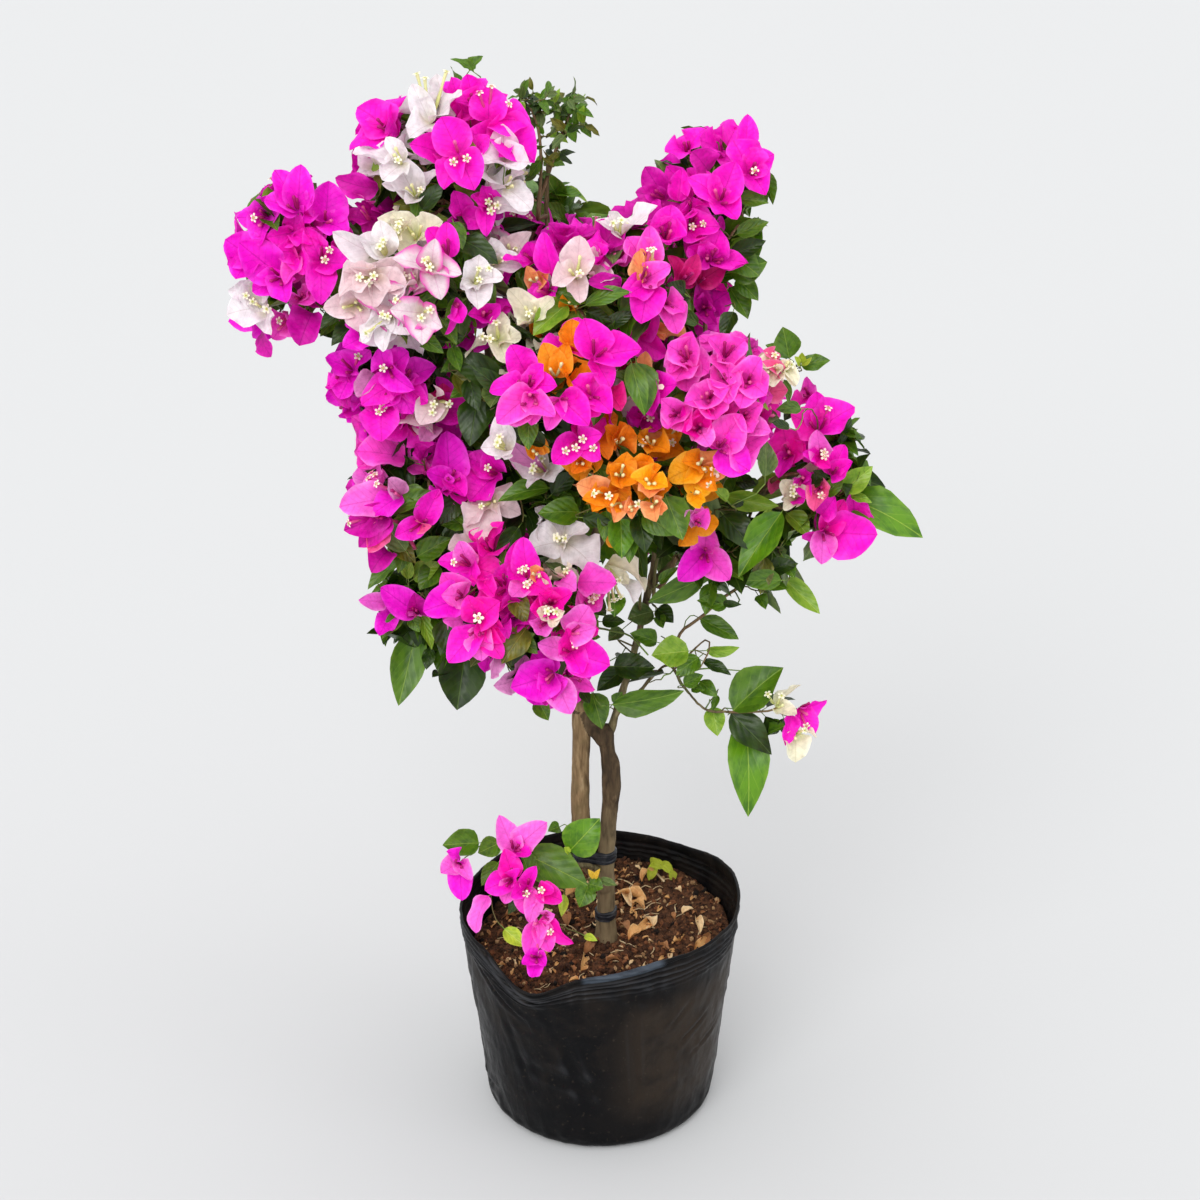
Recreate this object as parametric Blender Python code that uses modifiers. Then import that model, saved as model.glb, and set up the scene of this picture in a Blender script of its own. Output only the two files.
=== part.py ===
"""Grafted bougainvillea bush in a black film nursery bag.

Metres, +Z up. The origin is the centre of the bag's flat underside, and -Y is
the plant's front. Each limb, each mass of foliage, the bag and the compost is
one closed solid.
"""
import math

import bmesh
import bpy
from mathutils import Matrix, Vector, noise

# ---------------------------------------------------------------- sizes
BAG_HEIGHT = 0.210
BAG_FOOT_R = 0.098
BAG_RIM_R = 0.1305
BAG_WALL = 0.0022
SOIL_EDGE_Z = 0.158
SOIL_TOP_Z = 0.1665
SOIL_FLAT_R = 0.026
FIT_GAP = 0.0006
ROUND_STEPS = 28
LIMB_SIDES_RES = 1
STEM_SIDES_RES = 2
MASS_GAP = 0.0015

COLOURS = {
    "film": (0.012, 0.012, 0.013, 1.0),
    "compost": (0.11, 0.055, 0.03, 1.0),
    "bark": (0.23, 0.15, 0.085, 1.0),
    "twig": (0.16, 0.12, 0.06, 1.0),
    "magenta": (0.80, 0.02, 0.55, 1.0),
    "blush": (0.83, 0.68, 0.66, 1.0),
    "orange": (0.90, 0.32, 0.02, 1.0),
    "leaf": (0.09, 0.22, 0.035, 1.0),
}
ROUGHNESS = {"film": 0.35, "compost": 0.95, "bark": 0.8, "twig": 0.7}


# ---------------------------------------------------------------- helpers
for old in list(bpy.data.objects):
    bpy.data.objects.remove(old, do_unlink=True)

PLANT = bpy.data.collections.new("bougainvillea_bush")
CUTTERS = bpy.data.collections.new("cutters")
for made in (PLANT, CUTTERS):
    bpy.context.scene.collection.children.link(made)


def finish_of(kind):
    """One Principled material for each kind of surface."""
    mat = bpy.data.materials.get(kind)
    if mat is None:
        mat = bpy.data.materials.new(kind)
        mat.use_nodes = True
        shader = mat.node_tree.nodes["Principled BSDF"]
        shader.inputs["Base Color"].default_value = COLOURS[kind]
        shader.inputs["Roughness"].default_value = ROUGHNESS.get(kind, 0.55)
        shader.inputs["Metallic"].default_value = 0.0
    return mat


def place(obj, collection, kind=None):
    collection.objects.link(obj)
    if kind:
        obj.data.materials.append(finish_of(kind))
    if collection is CUTTERS:
        obj.hide_render = True
        obj.display_type = "WIRE"
    return obj


def evaluated_mesh(obj, name):
    """The object's mesh with its modifiers or its bevel, in world space and welded."""
    bpy.context.view_layer.update()
    graph = bpy.context.evaluated_depsgraph_get()
    mesh = bpy.data.meshes.new_from_object(obj.evaluated_get(graph))
    mesh.name = name
    mesh.transform(obj.matrix_world)
    bm = bmesh.new()
    bm.from_mesh(mesh)
    bmesh.ops.remove_doubles(bm, verts=bm.verts, dist=1e-5)
    bmesh.ops.recalc_face_normals(bm, faces=bm.faces)
    bm.to_mesh(mesh)
    bm.free()
    return mesh


def largest_piece(mesh):
    """Keeps the biggest connected part of a mesh."""
    bm = bmesh.new()
    bm.from_mesh(mesh)
    bmesh.ops.triangulate(bm, faces=bm.faces)
    left, parts = set(bm.verts), []
    while left:
        todo, part = [left.pop()], set()
        while todo:
            v = todo.pop()
            part.add(v)
            for e in v.link_edges:
                w = e.other_vert(v)
                if w in left:
                    left.discard(w)
                    todo.append(w)
        parts.append(part)
    parts.sort(key=len)
    for part in parts[:-1]:
        bmesh.ops.delete(bm, geom=list(part), context="VERTS")
    bm.to_mesh(mesh)
    bm.free()


def cut(obj, cutters):
    """Takes the cutters out of obj and keeps what is left as one body."""
    if not cutters:
        return
    for cutter in cutters:
        mod = obj.modifiers.new("clear_" + cutter.name, "BOOLEAN")
        mod.operation = "DIFFERENCE"
        mod.solver = "EXACT"
        mod.object = cutter
    mesh = evaluated_mesh(obj, obj.name)
    obj.modifiers.clear()
    largest_piece(mesh)
    obj.data = mesh


# ---------------------------------------------------------------- bag and compost
def bump(theta, at, wide):
    """A smooth hill round the turn, 1 at an angle and fading to 0 over a width."""
    off = (theta - at + math.pi) % (2 * math.pi) - math.pi
    return math.exp(-(off / wide) ** 2)


def bank(theta, radius):
    """How much higher the compost lies towards the back right of the bag."""
    out = max(0.0, min(1.0, (radius - SOIL_FLAT_R) / (0.121 - SOIL_FLAT_R)))
    return 0.025 * max(0.0, math.cos(theta - 1.15)) * out ** 1.1


def slump(theta, radius, z):
    """How the soft film leaves the round: (share of radius, lift) at an angle, radius and height."""
    t = max(0.0, z / BAG_HEIGHT)
    out = max(0.0, (radius - SOIL_FLAT_R) / (BAG_RIM_R - SOIL_FLAT_R))
    swell = 0.014 * math.cos(2 * theta - 0.5) + 0.007 * math.cos(3 * theta + 1.9)
    lift = 0.0055 * math.cos(theta - 0.75) + 0.003 * math.cos(3 * theta + 0.4)
    lift += 0.009 * bump(theta, -1.15, 0.40) - 0.031 * bump(theta, -2.12, 0.31) - 0.004 * bump(theta, 1.3, 0.5)
    return 1.0 + swell * t, lift * out * max(0.0, (t - 0.55) / 0.45) ** 1.5


def turned(name, profile, kind, banked=False):
    """A closed profile turned about Z with a Screw, then slumped like soft film."""
    mesh = bpy.data.meshes.new(name)
    obj = place(bpy.data.objects.new(name, mesh), PLANT, kind)
    mesh.from_pydata([(r, 0.0, z) for r, z in profile], [(i, i + 1) for i in range(len(profile) - 1)], [])
    screw = obj.modifiers.new("turn", "SCREW")
    screw.axis = "Z"
    screw.angle = 2 * math.pi
    screw.steps = screw.render_steps = ROUND_STEPS
    screw.use_merge_vertices = True
    screw.merge_threshold = 0.00005
    screw.use_smooth_shade = False
    solid = evaluated_mesh(obj, name)
    obj.modifiers.clear()
    for v in solid.vertices:
        if banked and v.co.z > SOIL_EDGE_Z - 0.0001:
            rise = bank(math.atan2(v.co.y, v.co.x), math.hypot(v.co.x, v.co.y))
            if v.co.z < SOIL_EDGE_Z + 0.0001:
                spare = BAG_WALL + 2 * FIT_GAP
                wider = (bag_side(SOIL_EDGE_Z + rise) - spare) / (bag_side(SOIL_EDGE_Z) - spare)
                v.co.x *= wider
                v.co.y *= wider
            v.co.z += rise
        grow, lift = slump(math.atan2(v.co.y, v.co.x), math.hypot(v.co.x, v.co.y), v.co.z)
        v.co.x *= grow
        v.co.y *= grow
        v.co.z += lift
    obj.data = solid
    return obj


def bag_side(z):
    """The bag's outer radius at a height above its rounded foot."""
    t = max(0.0, min(1.0, (z - 0.012) / (BAG_HEIGHT - 0.012)))
    return 0.1095 + (BAG_RIM_R - 0.1095) * t ** 0.9


SIDE_LEVELS = [0.012, 0.070, 0.140, 0.180, BAG_HEIGHT]
outer = [(0.0, 0.0), (BAG_FOOT_R, 0.0), (0.1055, 0.0035)] + [(bag_side(z), z) for z in SIDE_LEVELS]
inner = [(bag_side(z) - BAG_WALL, z) for z in reversed(SIDE_LEVELS)]
inner += [(BAG_FOOT_R, BAG_WALL + 0.003), (0.0, BAG_WALL + 0.003)]
turned("nursery_bag", (outer + inner)[::-1], "film")

soil_levels = [z for z in SIDE_LEVELS if z < SOIL_EDGE_Z] + [SOIL_EDGE_Z]
soil = [(0.0, BAG_WALL + 0.003 + FIT_GAP), (BAG_FOOT_R - FIT_GAP, BAG_WALL + 0.003 + FIT_GAP)]
soil += [(bag_side(z) - BAG_WALL - 2 * FIT_GAP, z) for z in soil_levels]
soil += [(0.075, SOIL_TOP_Z - 0.0025), (SOIL_FLAT_R, SOIL_TOP_Z), (0.0, SOIL_TOP_Z)]
turned("compost", soil[::-1], "compost", banked=True)


# ---------------------------------------------------------------- limbs
def through(points, steps):
    """Points on a Catmull-Rom curve through the given ones."""
    ends = [points[0] * 2 - points[1]] + points + [points[-1] * 2 - points[-2]]
    found = []
    for a, b, c, d in zip(ends, ends[1:], ends[2:], ends[3:]):
        for k in range(steps):
            t = k / steps
            found.append(0.5 * (2 * b + (c - a) * t + (2 * a - 5 * b + 4 * c - d) * t * t + (3 * b - a - 3 * c + d) * t ** 3))
    return found + [points[-1]]


def limb(name, points, base_r, tip_r, collection, kind=None, flare=0.0, extra=0.0, steps=2):
    """One tapering limb. flare widens its foot, extra makes a cutter that clears it."""
    line = through([Vector(p) for p in points], steps)
    if extra:
        line[-1] = line[-1] + (line[-1] - line[-2]).normalized() * extra
        line[0] = line[0] + (line[0] - line[1]).normalized() * extra
    curve = bpy.data.curves.new(name, "CURVE")
    curve.dimensions = "3D"
    curve.bevel_depth = 1.0
    curve.bevel_resolution = STEM_SIDES_RES if base_r > 0.0075 else LIMB_SIDES_RES
    curve.use_fill_caps = True
    spline = curve.splines.new("POLY")
    spline.points.add(len(line) - 1)
    for i, p in enumerate(line):
        t = i / (len(line) - 1)
        radius = base_r + (tip_r - base_r) * t + flare * (1 - min(1.0, t * 5)) ** 2
        spline.points[i].co = (*p, 1.0)
        spline.points[i].radius = radius + extra
    guide = bpy.data.objects.new(name + "_line", curve)
    bpy.context.scene.collection.objects.link(guide)
    mesh = evaluated_mesh(guide, name)
    bpy.data.objects.remove(guide, do_unlink=True)
    return place(bpy.data.objects.new(name, mesh), collection, kind)


FOOT_Z = SOIL_TOP_Z + 0.0004
# name: (points, foot radius, tip radius, foot flare)
LIMBS = {
    "trunk": ([(0.0055, 0, FOOT_Z), (0.0056, 0.0, 0.215), (0.0058, -0.002, 0.262), (0.0095, 0.001, 0.318), (0.0075, 0.001, 0.362), (0.0050, 0.0, 0.392)], 0.0098, 0.0078, 0.0035),
    "second_stem": ([(0.000, 0.001, 0.236), (-0.0140, 0.004, 0.256), (-0.0182, 0.005, 0.300), (-0.0180, 0.005, 0.345), (-0.0175, 0.004, 0.405), (-0.0220, 0.004, 0.462), (-0.036, 0.006, 0.520)], 0.0080, 0.0062, 0.0),
    "fused_arm": ([(0.0045, 0.0, 0.378), (-0.0060, 0.002, 0.391), (-0.0180, 0.004, 0.408)], 0.0080, 0.0066, 0.0),
    "right_leader": ([(0.0075, 0.0, 0.380), (0.0150, -0.001, 0.408), (0.0290, 0.000, 0.460), (0.0430, 0.006, 0.522), (0.0500, 0.008, 0.572), (0.0460, 0.010, 0.635), (0.0370, 0.008, 0.690)], 0.0058, 0.0026, 0.0),
    "left_leader": ([(-0.0350, 0.006, 0.512), (-0.050, 0.006, 0.570), (-0.072, 0.004, 0.640), (-0.092, 0.000, 0.710)], 0.0058, 0.0036, 0.0),
    "middle_leader": ([(-0.0250, 0.005, 0.470), (-0.016, 0.004, 0.540), (0.004, 0.004, 0.610), (0.012, 0.004, 0.690)], 0.0052, 0.0034, 0.0),
    "left_low_bough": ([(-0.023, 0.004, 0.462), (-0.056, -0.004, 0.492), (-0.092, -0.014, 0.512), (-0.118, -0.022, 0.520)], 0.0044, 0.0024, 0.0),
    "left_mid_bough": ([(-0.050, 0.006, 0.565), (-0.078, -0.010, 0.596), (-0.108, -0.026, 0.620)], 0.0040, 0.0024, 0.0),
    "wing_bough": ([(-0.088, 0.001, 0.700), (-0.126, 0.006, 0.752), (-0.168, 0.000, 0.792), (-0.205, -0.012, 0.815)], 0.0036, 0.0022, 0.0),
    "top_left_bough": ([(-0.090, 0.000, 0.705), (-0.098, 0.006, 0.770), (-0.104, 0.006, 0.830), (-0.116, -0.004, 0.876)], 0.0036, 0.0022, 0.0),
    "crest_bough": ([(0.0120, 0.004, 0.680), (0.004, 0.003, 0.730), (-0.006, -0.012, 0.775), (-0.010, -0.026, 0.800)], 0.0036, 0.0022, 0.0),
    "right_top_bough": ([(0.0420, 0.009, 0.660), (0.052, 0.014, 0.722), (0.066, 0.012, 0.775), (0.078, 0.006, 0.800)], 0.0030, 0.0020, 0.0),
    "right_bough": ([(0.0440, 0.006, 0.530), (0.072, 0.000, 0.562), (0.112, -0.008, 0.606), (0.152, -0.020, 0.634)], 0.0034, 0.0022, 0.0),
    "right_low_bough": ([(0.0150, -0.001, 0.408), (0.030, -0.005, 0.422), (0.046, -0.012, 0.447), (0.062, -0.020, 0.464), (0.075, -0.026, 0.446), (0.095, -0.026, 0.423), (0.116, -0.026, 0.420)], 0.0028, 0.0015, 0.0),
    "front_low_bough": ([(-0.0180, 0.004, 0.425), (-0.026, -0.026, 0.462), (-0.038, -0.062, 0.502)], 0.0040, 0.0024, 0.0),
    "front_bough": ([(0.0490, 0.009, 0.580), (0.046, -0.024, 0.615), (0.042, -0.060, 0.648)], 0.0032, 0.0022, 0.0),
    "back_left_bough": ([(-0.046, 0.006, 0.550), (-0.066, 0.044, 0.590), (-0.084, 0.080, 0.620)], 0.0042, 0.0026, 0.0),
    "back_right_bough": ([(-0.010, 0.004, 0.560), (0.022, 0.044, 0.585), (0.052, 0.080, 0.600)], 0.0040, 0.0024, 0.0),
    "back_top_bough": ([(-0.072, 0.004, 0.640), (-0.058, 0.048, 0.700), (-0.048, 0.088, 0.735)], 0.0036, 0.0024, 0.0),
    "green_shoot": ([(-0.0070, -0.014, 0.760), (-0.034, 0.020, 0.806), (-0.0450, 0.030, 0.850), (-0.0440, 0.032, 0.905)], 0.0024, 0.0014, 0.0),
    "basal_shoot": ([(0.0050, 0.0, 0.238), (-0.014, -0.020, 0.258), (-0.034, -0.040, 0.264), (-0.050, -0.054, 0.260)], 0.0028, 0.0016, 0.0),
}

# ---------------------------------------------------------------- foliage masses
# name: (centre, radii, colour, facets along an edge of the icosahedron, furthest tips)
MASSES = {
    "wing_mass": ((-0.250, -0.030, 0.842), (0.056, 0.060, 0.074), "magenta", 4, [(-0.312, -0.030, 0.782), (-0.312, -0.030, 0.862), (-0.235, -0.020, 0.915), (-0.276, -0.030, 0.760)]),
    "top_left_mass": ((-0.128, -0.020, 0.916), (0.080, 0.075, 0.068), "magenta", 4, [(-0.205, -0.020, 0.950), (-0.104, -0.010, 1.002), (-0.054, -0.020, 0.930)]),
    "upper_left_mass": ((-0.148, -0.085, 0.826), (0.074, 0.075, 0.066), "blush", 3, []),
    "crest_mass": ((0.000, -0.060, 0.832), (0.076, 0.085, 0.052), "magenta", 3, [(-0.032, -0.060, 0.890), (0.036, -0.060, 0.890)]),
    "upper_right_mass": ((0.086, -0.005, 0.866), (0.058, 0.064, 0.082), "magenta", 3, [(0.126, -0.005, 0.952), (0.046, -0.005, 0.896), (0.145, -0.005, 0.915), (0.128, 0.0, 0.788)]),
    "centre_mass": ((-0.034, -0.125, 0.758), (0.076, 0.072, 0.062), "magenta", 3, []),
    "mauve_mass": ((0.092, -0.100, 0.734), (0.066, 0.070, 0.066), "magenta", 3, [(0.128, -0.060, 0.668)]),
    "orange_mass": ((0.040, -0.135, 0.678), (0.064, 0.062, 0.044), "orange", 3, []),
    "left_upper_mass": ((-0.170, -0.048, 0.742), (0.058, 0.064, 0.052), "magenta", 3, [(-0.222, -0.050, 0.768)]),
    "left_middle_mass": ((-0.160, -0.058, 0.644), (0.062, 0.068, 0.056), "magenta", 3, [(-0.212, -0.058, 0.660), (-0.212, -0.055, 0.606)]),
    "left_low_mass": ((-0.154, -0.036, 0.532), (0.054, 0.060, 0.062), "leaf", 4, [(-0.180, -0.030, 0.434), (-0.208, -0.030, 0.548), (-0.122, -0.050, 0.432)]),
    "front_low_mass": ((-0.058, -0.115, 0.560), (0.078, 0.070, 0.072), "magenta", 3, [(-0.020, -0.105, 0.466), (-0.048, -0.110, 0.452)]),
    "heart_mass": ((-0.040, -0.062, 0.655), (0.066, 0.060, 0.052), "blush", 2, []),
    "right_wing_mass": ((0.194, -0.030, 0.656), (0.040, 0.058, 0.066), "magenta", 4, [(0.281, -0.030, 0.592), (0.225, -0.030, 0.708), (0.200, -0.040, 0.576), (0.232, -0.030, 0.590)]),
    "right_top_sprig": ((0.158, -0.010, 0.744), (0.034, 0.040, 0.030), "leaf", 3, [(0.196, -0.005, 0.745)]),
    "right_leafy_mass": ((0.108, -0.048, 0.596), (0.074, 0.066, 0.054), "leaf", 4, [(0.190, -0.030, 0.520), (0.150, -0.030, 0.520), (0.062, -0.040, 0.545)]),
    "right_low_mass": ((0.056, -0.030, 0.478), (0.058, 0.052, 0.036), "leaf", 4, [(-0.002, -0.030, 0.455), (0.122, -0.030, 0.488), (0.016, -0.020, 0.425)]),
    "hanging_mass": ((0.150, -0.026, 0.410), (0.038, 0.034, 0.038), "leaf", 4, [(0.136, -0.026, 0.312), (0.203, -0.026, 0.418), (0.180, -0.026, 0.368), (0.158, -0.026, 0.466), (0.120, -0.026, 0.420), (0.119, -0.026, 0.375)]),
    "green_shoot_mass": ((-0.038, 0.032, 0.936), (0.030, 0.032, 0.036), "leaf", 3, [(-0.008, 0.034, 0.970), (-0.064, 0.030, 0.962)]),
    "basal_mass": ((-0.070, -0.062, 0.270), (0.058, 0.044, 0.036), "magenta", 4, [(-0.145, -0.068, 0.268), (-0.142, -0.068, 0.312), (-0.056, -0.098, 0.192), (-0.088, -0.060, 0.330), (0.000, -0.050, 0.268), (-0.022, -0.050, 0.314)]),
    "back_wing_mass": ((-0.182, 0.076, 0.790), (0.064, 0.072, 0.066), "magenta", 3, [(-0.230, 0.100, 0.825)]),
    "back_crest_mass": ((-0.070, 0.108, 0.828), (0.072, 0.070, 0.058), "blush", 3, [(-0.090, 0.150, 0.876)]),
    "back_right_top_mass": ((0.056, 0.110, 0.790), (0.070, 0.070, 0.058), "magenta", 3, [(0.080, 0.160, 0.830)]),
    "back_left_mass": ((-0.152, 0.100, 0.668), (0.070, 0.074, 0.058), "magenta", 3, [(-0.205, 0.120, 0.650)]),
    "back_middle_mass": ((-0.032, 0.142, 0.710), (0.066, 0.070, 0.060), "orange", 3, []),
    "back_right_mass": ((0.094, 0.108, 0.668), (0.072, 0.078, 0.062), "magenta", 3, [(0.150, 0.150, 0.676)]),
    "back_low_left_mass": ((-0.100, 0.100, 0.558), (0.068, 0.068, 0.054), "leaf", 3, [(-0.130, 0.130, 0.488)]),
    "back_low_right_mass": ((0.046, 0.106, 0.556), (0.072, 0.070, 0.052), "leaf", 3, [(0.090, 0.140, 0.500)]),
}


def reach(radii, u):
    """An ellipsoid's radius in the unit direction u."""
    return 1.0 / math.sqrt(sum((c / r) ** 2 for c, r in zip(u, radii)))


def foliage(name, index):
    """An uneven ball that stays on its own side of a plane towards each neighbour."""
    centre, radii, kind, detail, tips = MASSES[name]
    centre = Vector(centre)
    planes = []
    for other, (c, r, *_) in MASSES.items():
        if other == name:
            continue
        way = Vector(c) - centre
        gap, u = way.length, way.normalized()
        mine, theirs = reach(radii, u), reach(r, u)
        planes.append((u, gap * mine / (mine + theirs) - MASS_GAP / 2))
    bm = bmesh.new()
    bmesh.ops.create_icosphere(bm, subdivisions=1, radius=1.0)
    bmesh.ops.subdivide_edges(bm, edges=bm.edges, cuts=detail - 1, use_grid_fill=True)
    ways = [(Vector(t) - centre) for t in tips]
    nearest = {min(bm.verts, key=lambda v, w=w: -v.co.normalized().dot(w.normalized())): w for w in ways}
    for v in bm.verts:
        u = nearest[v].normalized() if v in nearest else v.co.normalized()
        shift = Vector((index * 3.7, index * 1.3, index * 7.1))
        r = reach(radii, u) * (0.97 + 0.20 * noise.noise(u * 1.9 + shift) + 0.12 * noise.noise(u * 4.3 + shift))
        for w in ways:
            angle = math.acos(max(-1.0, min(1.0, u.dot(w.normalized()))))
            r += max(0.0, w.length - r) * math.exp(-((angle / 0.30) ** 2))
        for n, far in planes:
            facing = u.dot(n)
            if facing > 1e-4:
                r = min(r, far / facing)
        v.co = u * max(r, 0.006)
    mesh = bpy.data.meshes.new(name)
    bm.to_mesh(mesh)
    bm.free()
    mesh.transform(Matrix.Translation(centre))
    return place(bpy.data.objects.new(name, mesh), PLANT, kind)


# ---------------------------------------------------------------- assembly
def sweep_box(points, spare):
    """The box round a run of points, widened by spare."""
    low = [min(p[i] for p in points) - spare for i in range(3)]
    high = [max(p[i] for p in points) + spare for i in range(3)]
    return low, high


def meets(a, b):
    return all(a[0][i] < b[1][i] and b[0][i] < a[1][i] for i in range(3))


limb_cutters, limb_boxes = {}, {}
for name, (points, base_r, tip_r, flare) in LIMBS.items():
    kind = "bark" if base_r > 0.0045 else "twig"
    limb(name, points, base_r, tip_r, PLANT, kind, flare)
    limb_cutters[name] = limb(name + "_cutter", points, base_r, tip_r, CUTTERS, None, flare, FIT_GAP)
    limb_boxes[name] = sweep_box(points, base_r + flare + 0.002)

# A limb that grows out of another is cut back to the other's side.
done = []
for name in LIMBS:
    cut(PLANT.objects[name], [limb_cutters[other] for other in done if meets(limb_boxes[name], limb_boxes[other])])
    done.append(name)

# Foliage is cut round every limb that enters it.
for index, name in enumerate(MASSES):
    mass = foliage(name, index + 1)
    box = sweep_box([v.co for v in mass.data.vertices], 0.0)
    cut(mass, [limb_cutters[other] for other in LIMBS if meets(box, limb_boxes[other])])

for obj in PLANT.objects:
    obj.data.shade_smooth() if obj.name in LIMBS or obj.name in ("nursery_bag", "compost") else obj.data.shade_flat()
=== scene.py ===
"""Looks of the grafted bougainvillea bush in its black film nursery bag.

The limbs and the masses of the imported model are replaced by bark, twigs,
leaves and blossom that grow on from the limbs. Metres, +Z up, -Y is the front.
"""
import math

import bmesh
import bpy
import numpy as np
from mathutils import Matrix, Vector, noise
from mathutils.bvhtree import BVHTree


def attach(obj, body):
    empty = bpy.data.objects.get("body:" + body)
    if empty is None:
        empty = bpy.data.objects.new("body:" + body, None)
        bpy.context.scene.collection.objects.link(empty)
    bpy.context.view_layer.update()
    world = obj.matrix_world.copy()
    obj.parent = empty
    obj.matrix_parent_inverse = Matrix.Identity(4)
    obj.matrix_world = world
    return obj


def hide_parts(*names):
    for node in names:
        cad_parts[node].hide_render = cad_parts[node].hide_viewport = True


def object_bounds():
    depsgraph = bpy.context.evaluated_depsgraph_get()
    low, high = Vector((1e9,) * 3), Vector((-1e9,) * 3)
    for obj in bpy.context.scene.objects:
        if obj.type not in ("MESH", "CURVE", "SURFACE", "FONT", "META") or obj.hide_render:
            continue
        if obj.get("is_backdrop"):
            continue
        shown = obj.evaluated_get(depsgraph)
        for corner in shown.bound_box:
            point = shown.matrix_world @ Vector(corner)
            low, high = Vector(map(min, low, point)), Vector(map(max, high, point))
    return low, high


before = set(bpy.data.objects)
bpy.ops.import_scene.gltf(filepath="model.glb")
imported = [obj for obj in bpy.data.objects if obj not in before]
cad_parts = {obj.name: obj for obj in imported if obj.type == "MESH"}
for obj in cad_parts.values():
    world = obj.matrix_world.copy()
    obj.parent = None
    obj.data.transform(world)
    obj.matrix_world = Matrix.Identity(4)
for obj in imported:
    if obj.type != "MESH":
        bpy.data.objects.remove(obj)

CAD_BOX = [list(corner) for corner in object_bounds()]
RNG = np.random.default_rng(41)

# ---------------------------------------------------------------- the view
EYE = np.array((0.0, -1.90, 1.3467))
TILT = math.radians(23.54)
FOCAL_PX = 2313.0
AHEAD = np.array((0.0, math.cos(TILT), -math.sin(TILT)))
UPWARD = np.array((0.0, math.sin(TILT), math.cos(TILT)))
RIGHT = np.array((1.0, 0.0, 0.0))


def sight(px, py):
    """The ray through a point of the 1200 px view, of unit depth."""
    return AHEAD + RIGHT * ((px - 600) / FOCAL_PX) + UPWARD * ((600 - py) / FOCAL_PX)


def onto(px, py, depth):
    return EYE + sight(px, py) * depth


def seen_at(p):
    """(x px, y px, depth) of points in the view."""
    d = np.asarray(p, float) - EYE
    depth = d @ AHEAD
    return 600 + FOCAL_PX * (d @ RIGHT) / depth, 600 - FOCAL_PX * (d @ UPWARD) / depth, depth


def unit(v):
    v = np.asarray(v, float)
    return v / np.maximum(np.linalg.norm(v, axis=-1, keepdims=True), 1e-12)


# ---------------------------------------------------------------- the model's limbs and masses
BAG_HEIGHT, BAG_RIM_R, BAG_WALL = 0.210, 0.1305, 0.0022
SOIL_EDGE_Z, SOIL_TOP_Z, SOIL_FLAT_R = 0.158, 0.1665, 0.026
FOOT_Z = SOIL_TOP_Z + 0.0004
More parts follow.
